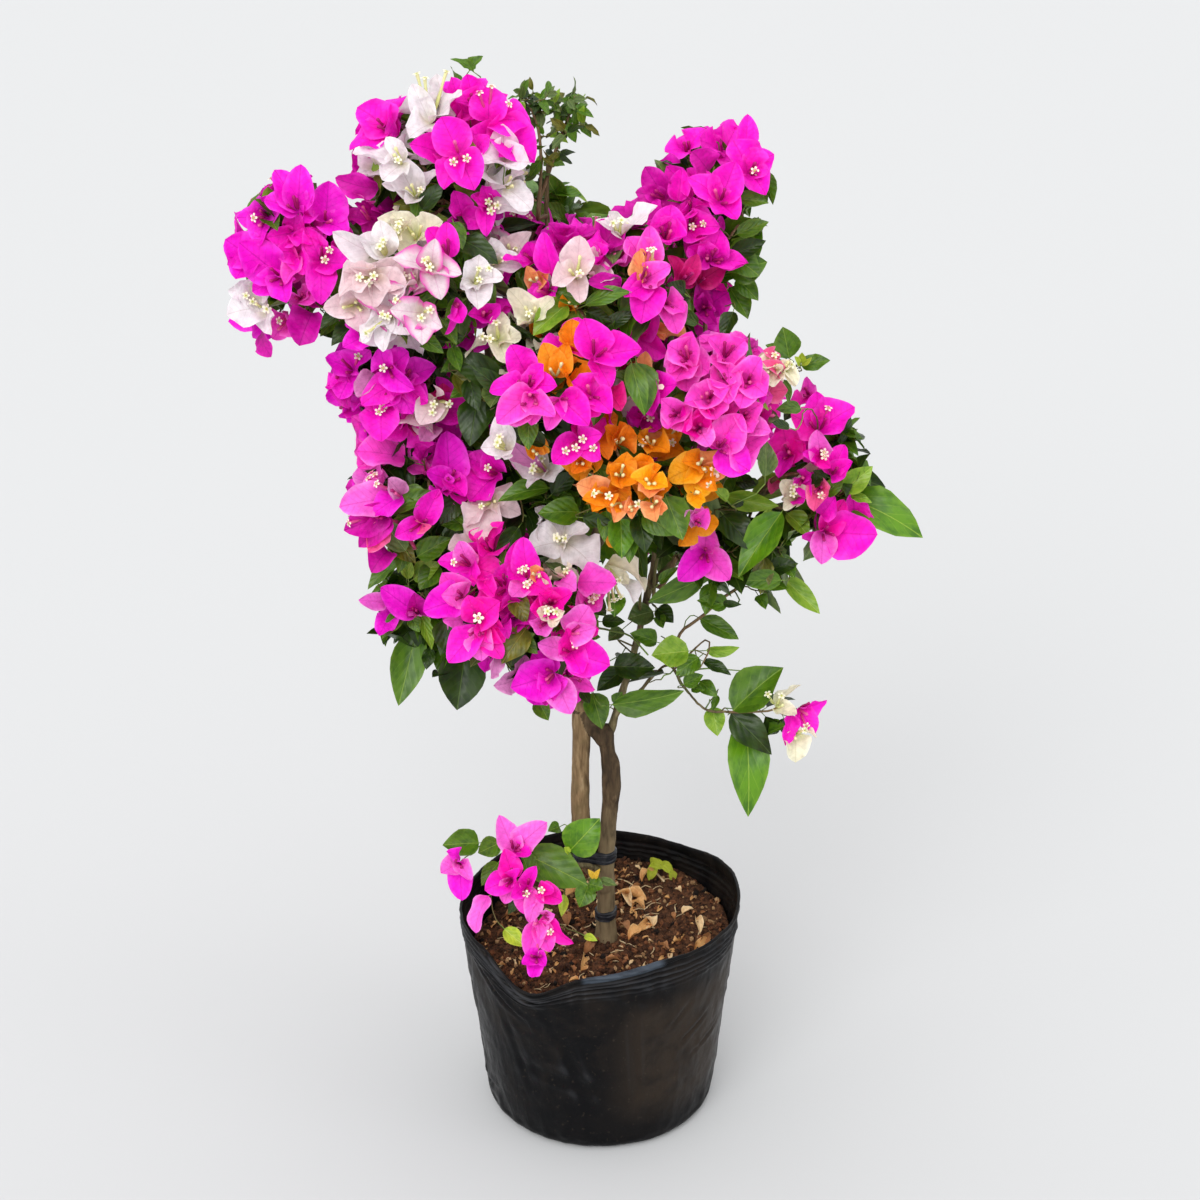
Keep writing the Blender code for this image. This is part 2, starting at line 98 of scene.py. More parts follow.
# name: (points, foot radius, tip radius, foot flare)
LIMBS = {
    "trunk": ([(0.0055, 0, FOOT_Z), (0.0056, 0.0, 0.215), (0.0058, -0.002, 0.262), (0.0095, 0.001, 0.318), (0.0075, 0.001, 0.362), (0.0050, 0.0, 0.392)], 0.0098, 0.0078, 0.0035),
    "second_stem": ([(0.000, 0.001, 0.236), (-0.0140, 0.004, 0.256), (-0.0182, 0.005, 0.300), (-0.0180, 0.005, 0.345), (-0.0175, 0.004, 0.405), (-0.0220, 0.004, 0.462), (-0.036, 0.006, 0.520)], 0.0080, 0.0062, 0.0),
    "fused_arm": ([(0.0045, 0.0, 0.378), (-0.0060, 0.002, 0.391), (-0.0180, 0.004, 0.408)], 0.0080, 0.0066, 0.0),
    "right_leader": ([(0.0075, 0.0, 0.380), (0.0150, -0.001, 0.408), (0.0290, 0.000, 0.460), (0.0430, 0.006, 0.522), (0.0500, 0.008, 0.572), (0.0460, 0.010, 0.635), (0.0370, 0.008, 0.690)], 0.0058, 0.0026, 0.0),
    "left_leader": ([(-0.0350, 0.006, 0.512), (-0.050, 0.006, 0.570), (-0.072, 0.004, 0.640), (-0.092, 0.000, 0.710)], 0.0058, 0.0036, 0.0),
    "middle_leader": ([(-0.0250, 0.005, 0.470), (-0.016, 0.004, 0.540), (0.004, 0.004, 0.610), (0.012, 0.004, 0.690)], 0.0052, 0.0034, 0.0),
    "left_low_bough": ([(-0.023, 0.004, 0.462), (-0.056, -0.004, 0.492), (-0.092, -0.014, 0.512), (-0.118, -0.022, 0.520)], 0.0044, 0.0024, 0.0),
    "left_mid_bough": ([(-0.050, 0.006, 0.565), (-0.078, -0.010, 0.596), (-0.108, -0.026, 0.620)], 0.0040, 0.0024, 0.0),
    "wing_bough": ([(-0.088, 0.001, 0.700), (-0.126, 0.006, 0.752), (-0.168, 0.000, 0.792), (-0.205, -0.012, 0.815)], 0.0036, 0.0022, 0.0),
    "top_left_bough": ([(-0.090, 0.000, 0.705), (-0.098, 0.006, 0.770), (-0.104, 0.006, 0.830), (-0.116, -0.004, 0.876)], 0.0036, 0.0022, 0.0),
    "crest_bough": ([(0.0120, 0.004, 0.680), (0.004, 0.003, 0.730), (-0.006, -0.012, 0.775), (-0.010, -0.026, 0.800)], 0.0036, 0.0022, 0.0),
    "right_top_bough": ([(0.0420, 0.009, 0.660), (0.052, 0.014, 0.722), (0.066, 0.012, 0.775), (0.078, 0.006, 0.800)], 0.0030, 0.0020, 0.0),
    "right_bough": ([(0.0440, 0.006, 0.530), (0.072, 0.000, 0.562), (0.112, -0.008, 0.606), (0.152, -0.020, 0.634)], 0.0034, 0.0022, 0.0),
    "right_low_bough": ([(0.0150, -0.001, 0.408), (0.030, -0.005, 0.422), (0.046, -0.012, 0.447), (0.062, -0.020, 0.464), (0.075, -0.026, 0.446), (0.095, -0.026, 0.423), (0.116, -0.026, 0.420)], 0.0028, 0.0015, 0.0),
    "front_low_bough": ([(-0.0180, 0.004, 0.425), (-0.026, -0.026, 0.462), (-0.038, -0.062, 0.502)], 0.0040, 0.0024, 0.0),
    "front_bough": ([(0.0490, 0.009, 0.580), (0.046, -0.024, 0.615), (0.042, -0.060, 0.648)], 0.0032, 0.0022, 0.0),
    "back_left_bough": ([(-0.046, 0.006, 0.550), (-0.066, 0.044, 0.590), (-0.084, 0.080, 0.620)], 0.0042, 0.0026, 0.0),
    "back_right_bough": ([(-0.010, 0.004, 0.560), (0.022, 0.044, 0.585), (0.052, 0.080, 0.600)], 0.0040, 0.0024, 0.0),
    "back_top_bough": ([(-0.072, 0.004, 0.640), (-0.058, 0.048, 0.700), (-0.048, 0.088, 0.735)], 0.0036, 0.0024, 0.0),
    "green_shoot": ([(-0.0070, -0.014, 0.760), (-0.034, 0.020, 0.806), (-0.0450, 0.030, 0.850), (-0.0440, 0.032, 0.905)], 0.0024, 0.0014, 0.0),
    "basal_shoot": ([(0.0050, 0.0, 0.238), (-0.014, -0.020, 0.258), (-0.034, -0.040, 0.264), (-0.050, -0.054, 0.260)], 0.0028, 0.0016, 0.0),
}
STEMS = ("trunk", "second_stem", "fused_arm")
# mass: (centre, blossom kinds and their shares, leaf share)
MASSES = {
    "wing_mass": ((-0.250, -0.030, 0.842), "PPPMMW", 0.2),
    "top_left_mass": ((-0.128, -0.020, 0.916), "MMMMWP", 0.25),
    "upper_left_mass": ((-0.148, -0.085, 0.826), "WBWXM", 0.3),
    "crest_mass": ((0.000, -0.060, 0.832), "MMKBA", 0.3),
    "upper_right_mass": ((0.086, -0.005, 0.866), "MMMMP", 0.25),
    "centre_mass": ((-0.034, -0.125, 0.758), "MMPBC", 0.4),
    "mauve_mass": ((0.092, -0.100, 0.734), "KKKM", 0.3),
    "orange_mass": ((0.040, -0.135, 0.678), "OOYOQ", 0.3),
    "left_upper_mass": ((-0.170, -0.048, 0.742), "PPMD", 0.3),
    "left_middle_mass": ((-0.160, -0.058, 0.644), "MMDP", 0.4),
    "left_low_mass": ((-0.154, -0.036, 0.532), "MU", 0.8),
    "front_low_mass": ((-0.058, -0.115, 0.560), "MMHH", 0.4),
    "heart_mass": ((-0.040, -0.062, 0.655), "W", 0.9),
    "right_wing_mass": ((0.194, -0.030, 0.656), "MMHK", 0.4),
    "right_top_sprig": ((0.158, -0.010, 0.744), "C", 0.9),
    "right_leafy_mass": ((0.108, -0.048, 0.596), "K", 0.95),
    "right_low_mass": ((0.056, -0.030, 0.478), "M", 1.0),
    "hanging_mass": ((0.150, -0.026, 0.410), "M", 1.0),
    "green_shoot_mass": ((-0.038, 0.032, 0.936), "M", 1.0),
    "basal_mass": ((-0.070, -0.062, 0.270), "M", 1.0),
    "back_wing_mass": ((-0.182, 0.076, 0.790), "MMPM", 0.3),
    "back_crest_mass": ((-0.070, 0.108, 0.828), "WBXM", 0.3),
    "back_right_top_mass": ((0.056, 0.110, 0.790), "MMHM", 0.3),
    "back_left_mass": ((-0.152, 0.100, 0.668), "PMKM", 0.4),
    "back_middle_mass": ((-0.032, 0.142, 0.710), "OOYW", 0.35),
    "back_right_mass": ((0.094, 0.108, 0.668), "KMMK", 0.35),
    "back_low_left_mass": ((-0.100, 0.100, 0.558), "MU", 0.75),
    "back_low_right_mass": ((0.046, 0.106, 0.556), "MW", 0.75),
}

# ---------------------------------------------------------------- blossom in view
# Kinds: M magenta, H hot magenta, D deep, P purple, K pink mauve, L light pink,
# R rose, V wine, U pale mauve, W white, B blush, C cream, X white with magenta, O orange,
# Y yellow orange, A apricot, Q burnt orange. D is both a deeper magenta and a darker
# copy of magenta for bracts that lie in shadow, which is painted shade.
# Each view: (corner, scale, [(kind, foot, [(tip x, tip y, width, kind)], [stars], lift)]),
# measured in the view's own scale; lift brings a flower forward, in mm.
BLOOMS = [
    ((200, 40), 7.84, [
        ("W", (1590, 960), [(1190, 895, 190), (1460, 760, 150), (1430, 1090, 220)]),
        ("M", (1500, 720), [(1240, 520, 330), (1170, 860, 260)]),
        ("D", (1400, 1170), [(1060, 1085, 180)]),
        ("K", (1330, 1290), [(1170, 1180, 60)]),
        ("D", (1350, 1420), [(1110, 1380, 170), (1200, 1290, 120)]),
        ("P", (770, 1350), [(590, 1015, 240), (790, 975, 260), (500, 1250, 240)]),
        ("P", (980, 1430), [(1010, 1105, 340), (1150, 1500, 240)]),
    ]),
    ((380, 40), 7.84, [
        ("W", (400, 660), [(250, 340, 180), (640, 390, 150), (230, 760, 260)], [(280, 260), (385, 290), (530, 240)]),
        ("M", (850, 640), [(860, 360, 320), (1180, 650, 320), (1210, 950, 380)], [(780, 410), (870, 360), (1005, 510)], 8),
        ("M", (740, 520), [(680, 265, 220), (600, 480, 200)]),
        ("M", (620, 900), [(480, 600, 330), (500, 1170, 240), (740, 1170, 320)], [(570, 960), (652, 950)], 10),
        ("W", (290, 1240), [(90, 890, 260), (10, 1130, 140), (470, 1020, 130), (210, 1275, 150)]),
        ("X", (850, 1290), [(800, 1140, 190, "M"), (1170, 1350, 170, "W"), (830, 1530, 150, "M"), (720, 1230, 120, "M")]),
        ("W", (980, 1150), [(1190, 1330, 220), (1130, 1040, 120)]),
        ("C", (160, 1520), [(100, 1400, 80), (220, 1410, 80), (170, 1560, 70)], [], 6),
    ]),
    ((590, 90), 7.84, [
        ("M", (1210, 500), [(1240, 190, 190)], [], -6),
        ("M", (1240, 650), [(1440, 500, 260), (1380, 820, 240), (1120, 390, 320)], [(1285, 640)]),
        ("M", (770, 500), [(590, 480, 200), (890, 300, 200)]),
        ("D", (930, 640), [(800, 480, 250)]),
        ("M", (1020, 880), [(1140, 560, 300), (780, 680, 220), (1150, 1000, 260)], [], 8),
        ("D", (600, 860), [(430, 600, 240), (360, 800, 180)]),
        ("M", (690, 870), [(720, 620, 190)]),
        ("M", (590, 1180), [(640, 900, 300), (760, 1150, 260), (440, 1050, 240)], [], 4),
        ("K", (430, 1400), [(290, 1150, 250), (470, 1060, 220)]),
        ("A", (470, 1500), [(390, 1240, 110), (620, 1370, 200, "K")], [(465, 1250)], 6),
        ("D", (930, 1370), [(980, 1080, 270), (1240, 1350, 160), (740, 1160, 160)]),
        ("W", (240, 1150), [(150, 950, 170), (540, 915, 170), (50, 1010, 130)]),
        ("V", (720, 1520), [(620, 1300, 180), (840, 1280, 170)]),
    ]),
    ((210, 220), 7.84, [
        ("P", (560, 450), [(230, 180, 360), (330, 560, 220), (600, 650, 240)], [], 4),
        ("P", (330, 300), [(120, 150, 330), (200, 460, 260)], [], -4),
        ("M", (870, 330), [(750, 60, 200), (1080, 340, 240), (870, 660, 250)], [(950, 220), (895, 315)], 6),
        ("M", (1010, 200), [(1040, 20, 200), (1180, 330, 240)]),
        ("K", (700, 330), [(580, 490, 150)]),
        ("K", (720, 620), [(600, 560, 90), (790, 520, 110), (830, 640, 130)]),
        ("W", (440, 690), [(130, 740, 330), (480, 900, 130)], [], 4),
        ("D", (400, 890), [(480, 1075, 150)]),
        ("D", (800, 730), [(700, 990, 300)]),
        ("W", (1390, 290), [(1330, 0, 230), (1160, 130, 240), (960, 90, 150)]),
        ("B", (1280, 440), [(1010, 590, 280), (1540, 520, 230), (1270, 690, 300), (1100, 370, 150)], [(1290, 430), (1240, 495)], 10),
        ("W", (1440, 740), [(1190, 960, 180), (1350, 1030, 170), (1560, 900, 220)], [(1220, 890)], 4),
        ("P", (1130, 1180), [(900, 1080, 230), (1010, 1400, 250), (1250, 1020, 220)], [(1155, 1070)]),
        ("P", (1400, 1170), [(1560, 1030, 230), (1590, 1330, 220), (1330, 1000, 200)], [(1370, 1150)], 4),
        ("P", (1470, 1320), [(1290, 1500, 240), (1590, 1520, 220)], [(1480, 1275)]),
        ("U", (1280, 1200), [(1160, 1385, 190)], [], 8),
    ]),
    ((390, 220), 7.84, [
        ("M", (460, 300), [(290, 60, 230), (440, 10, 200)]),
        ("X", (330, 380), [(20, 300, 240), (350, 150, 220), (400, 620, 240), (560, 420, 200)], [(315, 365)], 10),
        ("W", (660, 500), [(700, 270, 230), (690, 700, 250), (880, 440, 200), (560, 520, 150)], [(770, 385)], 6),
        ("X", (250, 730), [(0, 700, 260), (410, 840, 230), (250, 970, 270)], [(320, 700), (230, 780), (30, 630)], 4),
        ("M", (500, 640), [(560, 800, 80), (440, 900, 80)]),
        ("M", (740, 760), [(600, 740, 150), (860, 660, 150)]),
        ("C", (1130, 800), [(930, 540, 230), (1290, 610, 180), (1020, 830, 100)], [], 6),
        ("C", (850, 950), [(880, 720, 190), (585, 1075, 130), (1030, 930, 190), (920, 1130, 190)], [(750, 890), (780, 930)], 8),
        ("B", (1460, 440), [(1490, 120, 280), (1270, 520, 220), (1490, 640, 180)], [], 8),
        ("M", (1270, 420), [(1200, 90, 200)]),
        ("M", (1150, 330), [(880, 300, 120), (1080, 160, 200)]),
        ("B", (960, 320), [(880, 130, 180), (1100, 90, 180)], [], -6),
        ("M", (940, 330), [(880, 560, 160)]),
        ("A", (1150, 500), [(1070, 370, 130), (1240, 380, 130)], [], -4),
        ("O", (1300, 1240), [(1200, 960, 220), (1390, 960, 200)], [], -8),
        ("O", (1440, 680), [(1350, 590, 110), (1530, 600, 110)], [], -4),
        ("M", (1060, 1190), [(950, 980, 260)]),
        ("M", (1080, 1310), [(780, 1340, 220), (1310, 1300, 220), (1200, 1130, 180)], [], 4),
        ("K", (1100, 1430), [(840, 1560, 280), (1290, 1540, 220)], [], 6),
        ("P", (100, 1270), [(40, 970, 200), (360, 1150, 240), (290, 1450, 200)], [(70, 1275)], 4),
        ("P", (450, 1450), [(680, 1500, 250), (370, 1230, 180)]),
        ("C", (400, 1420), [(280, 1600, 200)], [], 14),
    ]),
    ((570, 230), 7.84, [
        ("M", (190, 1000), [(110, 690, 320), (560, 930, 290), (320, 1230, 220)], [], 16),
        ("M", (610, 420), [(560, 730, 300), (430, 520, 220)], [], 4),
        ("D", (400, 440), [(140, 400, 160)]),
        ("K", (560, 410), [(540, 160, 110, "A"), (780, 280, 210)], [(620, 155)], 8),
        ("K", (740, 570), [(840, 820, 250), (900, 640, 200)]),
        ("M", (1090, 240), [(1180, 0, 260), (1380, 250, 160), (930, 130, 240)]),
        ("V", (1000, 420), [(820, 230, 200), (1220, 270, 220)]),
        ("D", (1050, 620), [(1240, 490, 260), (1000, 420, 150), (1150, 740, 150)], [], 4),
        ("M", (660, 1250), [(600, 1130, 280), (640, 1450, 270), (830, 1210, 260)], [(660, 1235, 2.0)], 10),
        ("K", (930, 1030), [(770, 900, 270), (950, 800, 260), (820, 1190, 270)], [], 2),
        ("K", (1210, 1010), [(1080, 840, 270), (1370, 860, 290), (1250, 1210, 290)], [], 4),
        ("K", (1390, 1190), [(1500, 1000, 270), (1540, 1300, 270), (1330, 1400, 270)], [], 4),
        ("K", (1090, 1330), [(910, 1350, 270), (1150, 1500, 290), (1240, 1230, 260)], [], 6),
        ("K", (850, 1440), [(720, 1330, 240), (770, 1560, 250), (960, 1540, 250)], [], 6),
        ("A", (600, 1130), [(620, 950, 170)], [], 2),
        ("M", (170, 1300), [(20, 1190, 270), (60, 1500, 270), (330, 1440, 240)], [], 6),
        ("V", (300, 1250), [(400, 1400, 200)], [], 4),
    ]),
    ((300, 380), 7.84, [
        ("M", (340, -40), [(220, 90, 150), (380, 225, 190, "D")]),
        ("M", (790, 10), [(480, 190, 230), (1000, 190, 160), (740, 130, 260)], [(775, 20)], 6),
        ("M", (650, 190), [(640, 480, 320), (470, 130, 120)], [(640, 225), (610, 255)]),
        ("B", (1075, 150), [(940, 350, 240), (1120, 110, 130)], [(1060, 180), (1145, 210), (1045, 250)], 14),
        ("D", (1090, 210), [(1370, 240, 270), (1120, 20, 200, "V")]),
        ("U", (1010, 330), [(940, 480, 200)], [], 3),
        ("K", (860, 600), [(440, 560, 310)], [], 4),
        ("D", (960, 620), [(900, 500, 140)]),
        ("P", (1180, 790), [(1150, 400, 310), (990, 720, 180), (1290, 910, 190, "M")], [], 4),
        ("M", (1560, 720), [(1300, 600, 240), (1330, 960, 300), (1450, 560, 200)], [(1470, 685)], 2),
        ("M", (800, 900), [(310, 990, 300, "L"), (560, 1060, 200, "P"), (700, 780, 170, "U")], [(600, 810)], 3),
        ("D", (690, 1040), [(345, 1180, 260), (470, 1310, 200)], [(380, 1120)]),
        ("R", (650, 1170), [(540, 1350, 200)], [], 5),
        ("D", (690, 1340), [(560, 1500, 240)], [], 2),
        ("M", (960, 1120), [(1090, 860, 220), (740, 1225, 190), (1020, 1150, 110, "R")], [], 5),
    ]),
    ((470, 400), 7.84, [
        ("K", (500, -60), [(210, 180, 280), (480, 200, 200)], [], 6),
        ("K", (700, -20), [(600, 240, 190), (930, 190, 280, "M")], [], 8),
        ("M", (850, 300), [(650, 500, 240), (1020, 460, 180), (1020, 270, 200)], [(895, 295), (820, 380), (940, 400), (760, 390)], 4),
        ("W", (290, 400), [(90, 370, 240), (230, 100, 200), (200, 465, 150)], [(225, 290), (215, 330)], 14),
        ("W", (600, 570), [(300, 440, 290), (735, 540, 200), (450, 700, 130), (310, 330, 130, "U")], [(485, 525), (500, 540), (565, 455)], 18),
        ("O", (520, 420), [(440, 280, 140), (560, 280, 120)], [], -8),
        ("B", (170, 790), [(30, 1110, 330), (395, 890, 190), (-50, 1000, 170), (330, 640, 90)], [], 23),
        ("W", (735, 1110), [(455, 1170, 330), (985, 1335, 340), (605, 885, 140), (940, 1010, 200)], [(668, 1075), (650, 1105), (740, 1090)], 30),
        ("A", (880, 480), [(800, 570, 180, "Q"), (960, 420, 160, "O")]),
        ("O", (1060, 740), [(845, 660, 240, "A"), (960, 870, 220), (880, 780, 150)], [(945, 750), (1090, 750)], 6),
        ("O", (1180, 600), [(1230, 410, 240), (1080, 540, 200), (1320, 620, 200)], [], 2),
        ("O", (1320, 590), [(1410, 440, 220), (1490, 520, 180)]),
        ("Y", (1420, 660), [(1265, 610, 220), (1400, 775, 220, "A"), (1550, 680, 180)], [], 10),
        ("O", (1180, 800), [(1130, 950, 180, "A"), (1070, 850, 150)], [], 4),
        ("A", (1300, 830), [(1270, 920, 130), (1220, 870, 120)], [(1325, 810)], 4),
        ("A", (1440, 810), [(1455, 945, 190), (1540, 850, 150)], [], 6),
        ("Q", (1160, 350), [(1060, 210, 180), (1250, 200, 220), (1170, 160, 180)]),
        ("O", (1420, 360), [(1310, 300, 200), (1560, 400, 220)], [(1360, 325)], 2),
        ("M", (400, 1370), [(400, 1080, 240), (300, 1400, 180)], [(410, 1325), (455, 1440)], 2),
    ]),
    ((630, 350), 7.84, [
        ("A", (150, 230), [(120, 10, 170)], [], 2),
        ("M", (120, 540), [(20, 450, 220), (240, 600, 180), (60, 600, 180)], [(170, 525)]),
        ("K", (440, 60), [(440, 330, 280), (320, 180, 240), (620, 180, 240)], [], 2),
        ("K", (740, 230), [(640, 270, 240), (770, 420, 270), (900, 300, 240)], [], 4),
        ("M", (560, 420), [(400, 540, 200), (640, 480, 200), (470, 380, 180)]),
        ("M", (540, 620), [(410, 640, 200, "H"), (630, 760, 200, "L"), (610, 440, 200, "H")], [], 4),
        ("M", (690, 780), [(880, 500, 320, "K"), (940, 950, 300, "P"), (680, 520, 200)], [], 8),
        ("K", (880, 520), [(1030, 420, 200), (960, 640, 200)]),
        ("L", (950, 620), [(1110, 640, 190)], [], -4),
        ("P", (1000, 360), [(920, 290, 150), (1070, 290, 150)], [(950, 325), (995, 330)]),
        ("C", (1150, 190), [(960, 120, 160), (1090, 280, 160), (1060, 90, 100, "R")], [(1050, 180)]),
        ("C", (1190, 170), [(1300, 280, 140), (1270, 100, 80)]),
        ("O", (270, 740), [(160, 600, 160, "A"), (390, 560, 200), (420, 800, 220), (140, 820, 200)], [(350, 625), (320, 735)], 8),
        ("O", (560, 900), [(300, 1010, 260, "Y"), (500, 1180, 260, "Y"), (420, 870, 200)], [], 6),
        ("O", (610, 940), [(690, 790, 280, "A"), (780, 940, 160, "A"), (680, 1100, 190)], [(680, 945, 1.5), (640, 1050)], 10),
        ("Y", (500, 1120), [(550, 1240, 120), (590, 1190, 80)], [], 6),
        ("U", (520, 1360), [(440, 1260, 130), (610, 1250, 150, "K"), (520, 1210, 110, "L")], [], 2),
        ("P", (590, 1585), [(600, 1370, 230, "K"), (380, 1810, 250), (780, 1800, 250, "K")], [], 14),
    ]),
    ((745, 330), 6.533, [
        ("C", (190, 230), [(60, 230, 130), (150, 360, 140), (130, 130, 120, "R")]),
        ("C", (235, 250), [(330, 370, 120), (180, 330, 80, "M")], [], 2),
        ("K", (420, 430), [(405, 310, 110), (290, 530, 120, "H")]),
        ("M", (480, 660), [(715, 500, 260), (300, 550, 240, "H"), (470, 400, 180)], [(530, 515)], 2),
        ("H", (290, 820), [(250, 640, 260), (220, 960, 140, "M"), (400, 740, 160)], [], 5),
        ("M", (490, 830), [(470, 650, 170, "L"), (560, 900, 100, "H"), (390, 800, 120)], [(510, 805), (520, 825)], 6),
        ("M", (560, 950), [(650, 750, 170), (705, 860, 150)]),
        ("C", (330, 1110), [(240, 980, 150), (410, 1030, 150), (250, 1160, 110), (380, 1130, 110, "M")], [(325, 1020), (320, 1065)], 8),
        ("M", (370, 960), [(420, 1100, 130), (430, 940, 100)], [], 3),
        ("R", (490, 1020), [(450, 1180, 150), (540, 1080, 120)], [(480, 1095)]),
        ("R", (230, 990), [(170, 1070, 110)]),
        ("M", (510, 1320), [(650, 1110, 180, "H"), (860, 1340, 340), (500, 1530, 190, "L"), (375, 1345, 90)], [], 5),
        ("M", (500, 1210), [(590, 1090, 160)], [], 2),
    ]),
    ((330, 540), 7.84, [
        ("M", (1110, 210), [(1010, 10, 200, "L"), (850, 160, 190), (1130, 370, 170), (1380, 300, 260, "H")], [(948, 190)], 4),
        ("H", (1200, 320), [(1290, 440, 150)], [], 5),
        ("P", (1050, 450), [(730, 560, 300), (880, 260, 260, "K"), (880, 430, 220, "L")], [], 2),
        ("H", (1170, 630), [(1330, 480, 280), (1080, 440, 220), (1370, 800, 220)], [(1160, 612, 1.3)], 10),
        ("M", (1180, 680), [(930, 960, 260), (1190, 950, 240, "L"), (1350, 930, 190, "H")], [], 8),
        ("L", (1040, 620), [(890, 630, 100)], [], 6),
        ("D", (1330, 660), [(1400, 760, 110)]),
        ("L", (430, 490), [(230, 470, 150)]),
        ("P", (490, 560), [(385, 750, 180)]),
        ("P", (690, 580), [(400, 370, 250), (660, 420, 200, "D"), (620, 590, 90, "L")], [], 3),
        ("U", (1290, 900), [(1250, 1090, 90)]),
    ]),
    ((500, 540), 7.84, [
        ("M", (220, 330), [(180, -20, 230), (90, 450, 190, "L"), (400, 420, 230, "H")], [(180, 230), (215, 345)], 4),
        ("A", (300, 290), [(240, 210, 110), (360, 340, 60, "C")], [], 6),
        ("C", (500, 300), [(430, 250, 110), (560, 210, 90)], [], 4),
        ("L", (470, 320), [(590, 380, 190)], [], 7),
        ("K", (610, 330), [(915, 340, 270)], [], 3),
        ("H", (400, 510), [(240, 560, 170), (560, 420, 260), (300, 410, 200)], [], 6),
        ("C", (390, 580), [(290, 560, 90), (400, 690, 100), (500, 560, 90)], [(370, 560), (420, 580)], 10),
        ("L", (370, 640), [(290, 740, 150), (230, 640, 90)], [], 6),
        ("L", (540, 740), [(700, 520, 290), (750, 690, 200)], [], 6),
        ("M", (560, 880), [(300, 810, 190, "L"), (860, 980, 330), (520, 700, 260, "H"), (640, 1040, 200)], [(610, 790), (600, 815)], 9),
        ("P", (430, 1040), [(90, 1160, 360), (340, 1240, 240), (250, 890, 240), (350, 1300, 170, "D")], [], 4),
        ("L", (440, 1100), [(555, 1365, 260)], [], 5),
        ("K", (580, 1060), [(745, 1175, 130), (770, 1010, 70)], [], 4),
        ("C", (830, 190), [(1010, 340, 150), (1150, 390, 60)], [(940, 315), (965, 440), (885, 480), (830, 560)], 8),
        ("W", (960, 300), [(1050, 500, 130)], [], 5),
    ]),
    ((700, 600), 6.533, [
        ("C", (490, 700), [(665, 555, 80), (630, 740, 120)], [(450, 610)], 4),
        ("M", (640, 705), [(830, 650, 60), (755, 870, 150)], [(700, 820)], 2),
        ("M", (590, 750), [(560, 950, 120)], [], 3),
        ("C", (620, 870), [(625, 1060, 180), (760, 895, 50)], [], 1),
    ]),
    ((440, 805), 8.711, [
        ("M", (640, 400), [(520, 100, 230, "L"), (930, 150, 250, "L"), (800, 420, 150)], [], 2),
        ("M", (170, 500), [(80, 400, 80, "P"), (10, 590, 200, "L"), (270, 660, 160, "L"), (190, 830, 230, "P")], [], 0),
        ("L", (420, 790), [(300, 1110, 170)], [], 0),
        ("M", (640, 640), [(560, 390, 220, "H"), (390, 740, 230), (560, 860, 200, "L"), (700, 560, 150)], [], 4),
        ("M", (760, 700), [(830, 540, 150), (730, 950, 220, "K"), (630, 790, 170)], [(755, 770)], 5),
        ("H", (850, 740), [(1060, 830, 200), (990, 760, 150), (780, 1030, 180, "L")], [(885, 740)], 7),
        ("H", (900, 960), [(1160, 1210, 170), (990, 960, 80, "L")], [], 8),
        ("K", (860, 1010), [(760, 1320, 200), (960, 1280, 200), (870, 1170, 120, "L")], [(870, 1290), (960, 1110)], 8),
        ("P", (850, 1320), [(710, 1390, 170), (800, 1500, 170), (920, 1400, 150)], [], 6),
    ]),
]

